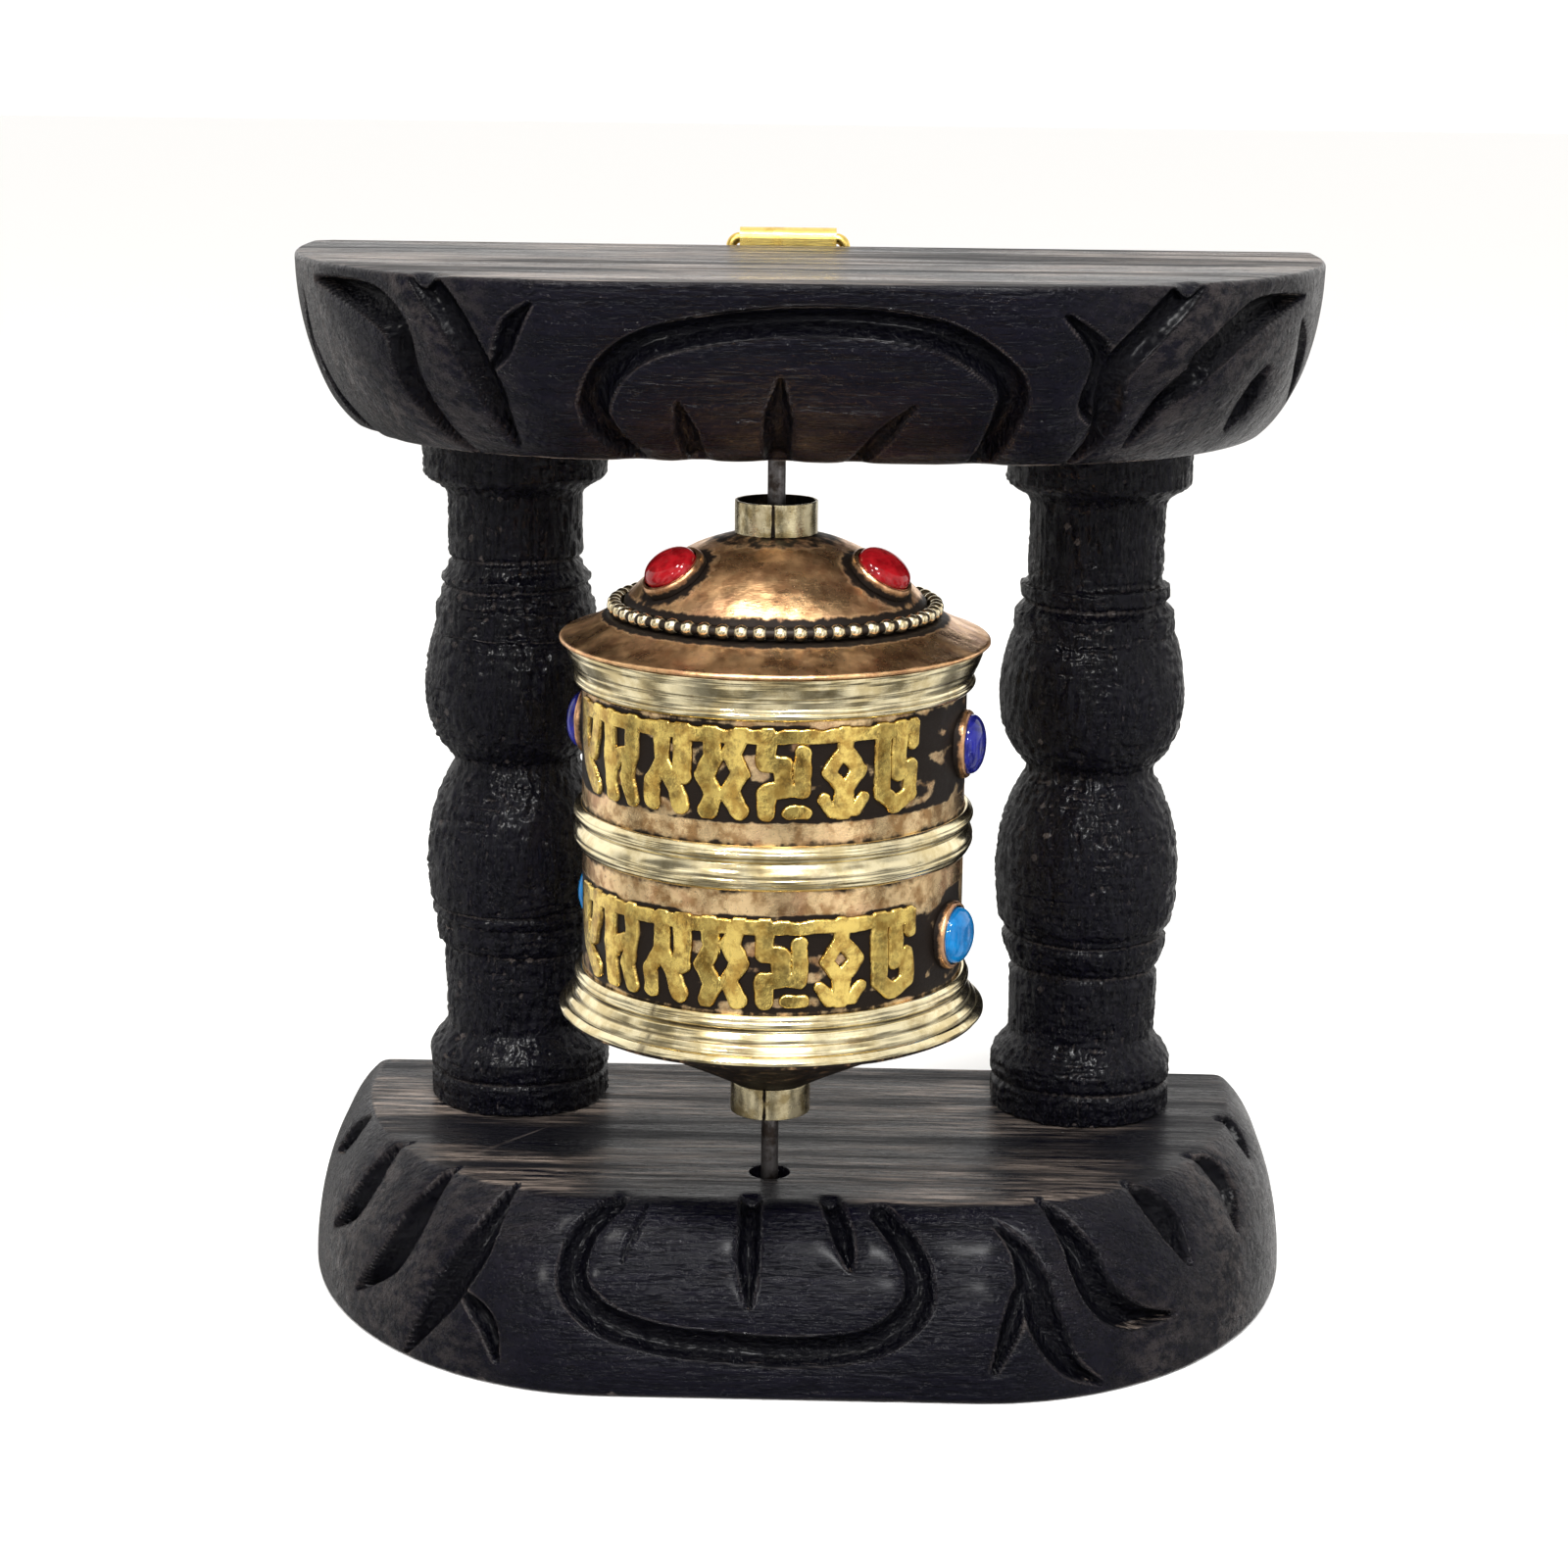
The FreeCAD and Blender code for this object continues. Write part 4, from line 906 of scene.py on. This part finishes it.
CELL_MM = 0.13
FILED_EDGE_MM = 0.22
HEAD_RAIL_DROP = 1.35         # middle of the head rail below the strip's top, in mm
HEAD_RAIL_HALF = 1.15
UNIT_WIDTH = 7.4
# Each motif is a list of saw-cut bars: points across and up in mm, and half a bar's width.
motifs = [
    [([(1.5, 12), (1.4, 6), (2.0, 1.2)], 1.25), ([(1.6, 4.6), (3.6, 7.0), (5.4, 7.6)], 1.1),
     ([(5.6, 12), (5.6, 7.2), (4.8, 4.0), (5.8, 1.2)], 1.2)],
    [([(1.5, 12), (2.6, 9.2), (1.5, 6.6), (2.7, 4.0), (1.7, 1.4)], 1.3),
     ([(5.3, 12), (4.9, 8.6), (6.0, 6.0), (4.7, 3.4), (5.6, 1.2)], 1.25)],
    [([(3.7, 12), (3.7, 9.6), (5.7, 6.8), (3.7, 4.0), (1.7, 6.8), (3.7, 9.6)], 1.05),
     ([(3.7, 4.0), (3.6, 1.2)], 1.3), ([(1.2, 3.0), (2.2, 1.2), (5.2, 1.2), (6.2, 3.0)], 0.9)],
    [([(1.6, 12), (1.6, 8.0), (3.6, 7.8), (3.6, 4.4), (1.6, 4.2), (1.6, 1.3)], 1.25),
     ([(3.6, 4.4), (5.9, 4.2), (5.9, 9.4)], 1.1), ([(4.4, 1.3), (6.2, 1.3)], 1.0)],
    [([(1.7, 12), (1.3, 8.0), (2.3, 4.2), (5.2, 1.4)], 1.4), ([(5.7, 12), (5.2, 8.6), (4.2, 5.8)], 1.25)],
    [([(1.5, 12), (1.5, 3.2), (3.4, 1.4), (5.8, 2.6), (5.8, 6.2)], 1.25), ([(4.0, 12), (3.9, 5.6)], 1.15),
     ([(6.2, 12), (6.2, 9.4)], 1.0)],
    [([(1.4, 12), (1.4, 5.6)], 1.3), ([(4.2, 12), (4.3, 7.4), (2.4, 3.6), (1.7, 1.4)], 1.2),
     ([(4.3, 7.4), (6.0, 4.2), (5.8, 1.4)], 1.15)]]


def node_points(node):
    return np.array([v.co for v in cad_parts[node].data.vertices])


def distance_to_bars(across, up, bars):
    """Signed distance in mm to a set of bars, negative inside them."""
    nearest = np.full(across.shape, 9.0)
    for line, half_width in bars:
        for (x0, y0), (x1, y1) in zip(line[:-1], line[1:]):
            dx, dy = x1 - x0, y1 - y0
            t = np.clip(((across - x0) * dx + (up - y0) * dy) / (dx * dx + dy * dy), 0, 1)
            reach = np.hypot(across - x0 - t * dx, up - y0 - t * dy)
            nearest = np.minimum(nearest, reach - half_width)
    return nearest


def pierced_strip(node, order, mirrored, seed):
    """A strip sawn into the motifs in the given order, curved round the barrel."""
    low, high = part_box(node)
    height = (high.z - low.z) / MM
    corners = node_points(node)
    reach = np.hypot(corners[:, 0], corners[:, 1])
    outer, inner = reach.max(), reach.min()
    rough_middle = math.atan2(low.y + high.y, low.x + high.x)
    turns = (np.arctan2(corners[:, 1], corners[:, 0]) - rough_middle + math.pi) % (2 * math.pi)
    start = rough_middle - math.pi + turns.min()
    length = np.ptp(turns) * outer / MM
    across = np.arange(0, length + 1e-6, CELL_MM)
    up = np.linspace(0, height, int(height / CELL_MM) + 1)
    a, u = np.meshgrid(across, up)
    grid = np.stack([a, u, np.full(a.shape, seed)], axis=-1)
    bend_a = a + 0.30 * speckle(grid, 2.6, seed) + 0.10 * speckle(grid, 0.9, seed + 2)
    bend_u = u + 0.26 * speckle(grid, 2.9, seed + 4) + 0.08 * speckle(grid, 0.9, seed + 6)
    unit = length / len(order)
    solid = np.full(a.shape, 9.0)
    for place, which in enumerate(order):
        local_a = (bend_a - place * unit) * UNIT_WIDTH / unit
        if mirrored[place]:
            local_a = UNIT_WIDTH - local_a
        solid = np.minimum(solid, distance_to_bars(local_a, bend_u, motifs[which]))
    notch = 0.55 * np.clip(speckle(grid * [1, 0, 1], 2.2, seed + 8), 0, 1) + 0.25
    head = np.maximum(np.abs(bend_u - (height - HEAD_RAIL_DROP)) - HEAD_RAIL_HALF, u - (height - notch))
    ragged = [0.12 + 0.25 * np.abs(speckle(grid * [0, 1, 1], 3, seed + end)) for end in (0, 1)]
    ends = np.maximum(ragged[0] - a, a - (length - ragged[1]))
    solid = np.maximum(np.maximum(np.minimum(solid, head), ends), np.maximum(0.06 - u, u - height + 0.06))
    # Points beside an outline are moved onto it, so that the sawn edges are smooth.
    slope_u, slope_a = np.gradient(solid, up[1] - up[0], across[1] - across[0])
    steep = np.hypot(slope_u, slope_a) + 1e-6
    close = np.abs(solid) < 0.75 * CELL_MM
    move = np.where(close, solid, 0) / steep ** 2
    a, u = np.clip(a - move * slope_a, 0, length), np.clip(u - move * slope_u, 0, height)
    solid = np.where(close & (np.abs(move) > 0), 0.0, solid)
    filed = np.clip(-solid / FILED_EDGE_MM, 0, 1)
    rise = np.sin(filed * math.pi / 2) ** 0.7
    radius = inner + (outer - inner - MM * (0.06 * (0.5 + 0.5 * speckle(grid, 3.5, seed + 12)) + 0.02)) * rise
    angle = start + a * MM / outer
    points = np.stack([radius * np.cos(angle), radius * np.sin(angle), low.z + u * MM], axis=-1)
    quads = grid_faces(*a.shape)
    kept = quads[solid.ravel()[quads].min(axis=-1) < -1e-4]
    used = np.unique(kept)
    return finished_object(node, points.reshape(-1, 3)[used], np.searchsorted(used, kept),
                           {"edge": (1 - filed).ravel()[used]})


made, paint, shader, marks, gold = two_toned("rubbed yellow brass", (0.98, 0.73, 0.21),
                                             (0.55, 0.34, 0.08), 2.4, (0.5, 0.5, 0.5))
dirt = paint.most(paint.times(paint.patches(2.0, 6.0, 0.7, 0.48, 0.66), 0.55),
                  paint.span(paint.layer("edge"), 0.35, 0.95, 0.0, 0.9))
paint.join(shader, {"Base Color": paint.mix(dirt, gold, (0.13, 0.075, 0.03)), "Metallic": 1.0,
                    "Roughness": paint.plus(paint.times(marks["Smudges"], 0.15), 0.2),
                    "Normal": paint.bump(paint.noise(1.7, 3.0, 0.6), 0.10)})
for node, order, mirrored, seed in (
        ("upper_fret_strip_1", [0, 3, 5, 1, 4, 2, 6], [0, 0, 1, 0, 0, 0, 1], 5.0),
        ("upper_fret_strip_2", [4, 0, 6, 1, 3, 2, 5], [0, 0, 1, 1, 0, 0, 0], 9.0),
        ("lower_fret_strip_1", [2, 5, 0, 4, 1, 3, 6], [0, 1, 0, 0, 0, 1, 0], 15.0),
        ("lower_fret_strip_2", [4, 0, 6, 1, 3, 2, 5], [0, 0, 1, 1, 0, 0, 0], 21.0)):
    dress(pierced_strip(node, order, mirrored, seed), made, "fret_brass", "drum", node)

# ---------------------------------------------------------------------------
# Stones and their bezels
# Polished cabochons of coral, lapis and turquoise, each held in a collar of thin
# copper strip whose rim is pressed over the stone by hand and left uneven.

STEEPEST_TILT = 60            # degrees above level that a stone's face is looked for


def stone_material(name, light, dark, speck, speck_share, vein_mm):
    made, paint, shader, _ = new_material(name)
    cloud = paint.patches(2.2, 4.0, 0.6, 0.35, 0.65, bend=0.4)
    flecks = paint.patches(vein_mm, 4.0, 0.7, 1 - speck_share, 1.04 - speck_share)
    worn = paint.noise(0.9, 3.0, 0.6)
    colour = paint.mix(paint.times(flecks, 0.7), paint.mix(cloud, light, dark), speck)
    paint.join(shader, {"Base Color": colour, "Roughness": paint.span(worn, 0.3, 0.7, 0.03, 0.08),
                        "Specular IOR Level": 0.25, "Coat Weight": 0.20, "Coat Roughness": 0.02,
                        "Normal": paint.bump(worn, 0.02)})
    return made


stone_looks = {
    "coral": stone_material("red coral", (0.23, 0.005, 0.008), (0.12, 0.0015, 0.003),
                            (0.29, 0.022, 0.02), 0.32, 0.8),
    "lapis": stone_material("blue lapis", (0.012, 0.014, 0.17), (0.005, 0.006, 0.075),
                            (0.10, 0.12, 0.30), 0.36, 0.5),
    "turquoise": stone_material("blue turquoise", (0.004, 0.13, 0.34), (0.003, 0.085, 0.24),
                                (0.03, 0.08, 0.12), 0.34, 0.7)}
bezel_copper = copper_sheet("pressed copper bezel", (0.72, 0.42, 0.22), (0.34, 0.17, 0.08), 0.24, 0.08)


def facing(node):
    """The way a stone faces, straight out from the barrel or square to the dome, which is the
    way it is thinnest, and the middles of its back and of its top."""
    middle = np.array(stones[node])
    off = node_points(node) - middle
    outwards = np.array([middle[0], middle[1], 0]) / math.hypot(middle[0], middle[1])
    tilts = np.radians(np.arange(0, STEEPEST_TILT, 0.5))
    ways = [outwards * math.cos(t) + np.array([0, 0, math.sin(t)]) for t in tilts]
    way = min(ways, key=lambda way: np.ptp(off @ way))
    return way, middle + way * (off @ way).min(), middle + way * (off @ way).max()


def along_and_across(node, back, way):
    """How far each point of a node lies along a stone's own axis, and off it."""
    off = node_points(node) - back
    along = off @ way
    return along, np.linalg.norm(off - np.outer(along, way), axis=1)


for number, node in enumerate(sorted(stones)):
    kind = node.split("_")[0]
    way, back, top = facing(node)
    girdle = along_and_across(node, back, way)[1].max()
    rise = np.linalg.norm(top - back)
    seat = Matrix.Translation(back) @ Vector(way).to_track_quat("Z", "Y").to_matrix().to_4x4()
    wide = 0.955 + 0.04 * math.sin(number * 2.4)
    dome = [(0.0, 0.0), (girdle * 0.985, 0.02 * rise)]
    for turn in np.linspace(0, math.pi / 2, 22):
        dome.append((girdle * 0.985 * math.cos(turn) ** 0.9, rise * (0.30 + 0.69 * math.sin(turn))))
    stone = spin(node, (np.array(dome), False, Vector()), 0.1, 0.35, 60, dented(0.03, 2.5, 31.0 + number))
    stone.data.transform(seat @ Matrix.Diagonal((1.0, wide, 1.0, 1.0)))
    dress(stone, stone_looks[kind], kind, "drum", node)

    bezel = node.replace("stone", "bezel")
    upwards, sideways = along_and_across(bezel, back, way)
    out, top = sideways.max(), upwards.max()
    foot = max(upwards.min(), -0.9 * MM)
    section = np.array([(girdle * 0.99, foot), (out * 0.985, foot), (out * 0.96, top * 0.40),
                        (out * 0.91, top * 0.70), (girdle * 0.95, top * 0.74), (girdle * 0.97, top * 0.5)])

    def pressed(points, angle, radius, z):
        waves = 0.5 + 0.25 * np.sin(angle * 3 + number) + 0.25 * np.sin(angle * 7 + 2 * number)
        return MM * (0.10 * waves + 0.05 * uneven(points, 1.2, 50.0 + number))

    def collar_patina(points, angle, radius, z):
        return np.clip(1.0 - (z - foot) / (1.9 * MM), 0.1, 1)

    collar = spin(bezel, (section, True, Vector()), 0.12, 0.2, 110, pressed, patina=collar_patina)
    collar.data.transform(seat)
    dress(collar, bezel_copper, "bezel_copper", "drum", bezel)

# ---------------------------------------------------------------------------
# Hanger
# A strip of bright brass is folded double round the straight side of a wire ring
# and screwed to the back of the top board with two round-headed screws.

made = plain_metal("bright hanger brass", (0.86, 0.66, 0.20), (0.66, 0.44, 0.10), 0.16, 3.0, (0.08, 1, 1))
for node in ("hanger_strap", "hanger_screws", "hanger_ring"):
    repaint(node, made)

# ---------------------------------------------------------------------------
# Floor, light and camera
# A plain white sheet under the stand in a patchy room, with small ceiling and side
# lamps that glint in the stain, a large dim card at each side and in front, and a
# camera a little above the stand and turned slightly to it.

FLOOR_REACH = 6
floor_mesh = bpy.data.meshes.new("floor")
corners = [(x * FLOOR_REACH, y * FLOOR_REACH, 0) for x, y in ((-1, -1), (1, -1), (1, 1), (-1, 1))]
floor_mesh.from_pydata(corners, [], [(0, 1, 2, 3)])
floor = placed_object("floor", floor_mesh)
floor.location.z = -0.05 * MM
made, paint, shader, _ = new_material("white paper sweep")
fibre = paint.noise(3.0, 3.0, 0.6)
paint.join(shader, {"Base Color": paint.mix(fibre, (0.955, 0.955, 0.955), (0.975, 0.975, 0.975)),
                    "Roughness": paint.span(fibre, 0.3, 0.7, 0.85, 0.95)})
floor_mesh.materials.append(made)
floor.visible_glossy = False          # the metal mirrors the room's own shades, not the sheet

world = bpy.data.worlds.new("studio")
bpy.context.scene.world = world
world.use_nodes = True
world.node_tree.nodes.clear()
paint = Paint(world.node_tree)
direction = paint.add("TexCoord").outputs["Generated"]
way = paint.add("SeparateXYZ", {0: direction}).outputs
above = paint.span(way[2], 0.55, 0.92, 0.0, 1.15)
behind = paint.times(paint.span(way[1], -0.10, 0.35, 0.0, 1.25), paint.span(way[2], -0.07, -0.035))
room = paint.span(paint.noise(0.30, 1.0, 0.5, where=paint.stretched(direction, (1, 1, 0.35))),
                  0.45, 0.55, 0.18, 1.0)
front = paint.times(room, paint.span(way[2], -1.0, -0.70, 0.75, 1.0))
glow = paint.most(above, behind, front, paint.add("LightPath").outputs["Is Camera Ray"])
studio = paint.add("Background", {"Color": (1.0, 0.985, 0.96, 1), "Strength": glow})
paint.add("OutputWorld", {"Surface": studio.outputs[0]})

stand_middle = Vector((0.0035, 0.0, 0.078))
WHITE, WARM, COOL = (1, 1, 1), (1.0, 0.98, 0.95), (0.93, 0.97, 1.0)
for name, place, size, power, colour in (
        ("ceiling lamp", (0.10, -0.42, 0.72), (0.10, 0.07), 4.2, WHITE),
        ("ceiling lamp behind", (-0.18, -0.30, 0.80), (0.08, 0.08), 2.2, (1.0, 0.97, 0.93)),
        ("left lamp", (-0.34, -0.66, 0.52), (0.06, 0.045), 2.6, WARM),
        ("right lamp", (0.12, -0.72, 0.52), (0.05, 0.045), 2.2, WHITE),
        ("left card", (-0.62, -0.72, 0.28), (0.45, 0.50), 0.5, WARM),
        ("front card", (0.02, -0.95, 0.40), (0.60, 0.30), 0.4, WHITE),
        ("right card", (0.66, -0.66, 0.24), (0.35, 0.50), 0.4, COOL)):
    lamp = bpy.data.lights.new(name, "AREA")
    lamp.shape = "RECTANGLE"
    lamp.size, lamp.size_y = size
    lamp.energy = power
    lamp.color = colour
    made = placed_object(name, lamp)
    made.location = place
    made.rotation_euler = (stand_middle - Vector(place)).to_track_quat("-Z", "Y").to_euler()

CAMERA_PLACE = Vector((0.0118, -0.4413, 0.1872))
YAW, PITCH, ROLL = math.radians(-1.34), math.radians(13.28), math.radians(0.65)
forward = Vector((math.sin(YAW) * math.cos(PITCH), math.cos(YAW) * math.cos(PITCH), -math.sin(PITCH)))
right = Vector((math.cos(YAW), -math.sin(YAW), 0))
down = forward.cross(right)
camera_x = math.cos(ROLL) * right - math.sin(ROLL) * down
camera_y = -(math.sin(ROLL) * right + math.cos(ROLL) * down)
turn = Matrix((camera_x, camera_y, -forward)).transposed()
lens = bpy.data.cameras.new("view")
lens.lens = 73.69
lens.sensor_width = 36
lens.dof.use_dof = False
lens.clip_start = 0.01
camera = placed_object("view", lens)
camera.matrix_world = Matrix.Translation(CAMERA_PLACE) @ turn.to_4x4()
bpy.context.scene.camera = camera
bpy.context.scene.view_settings.view_transform = "Standard"
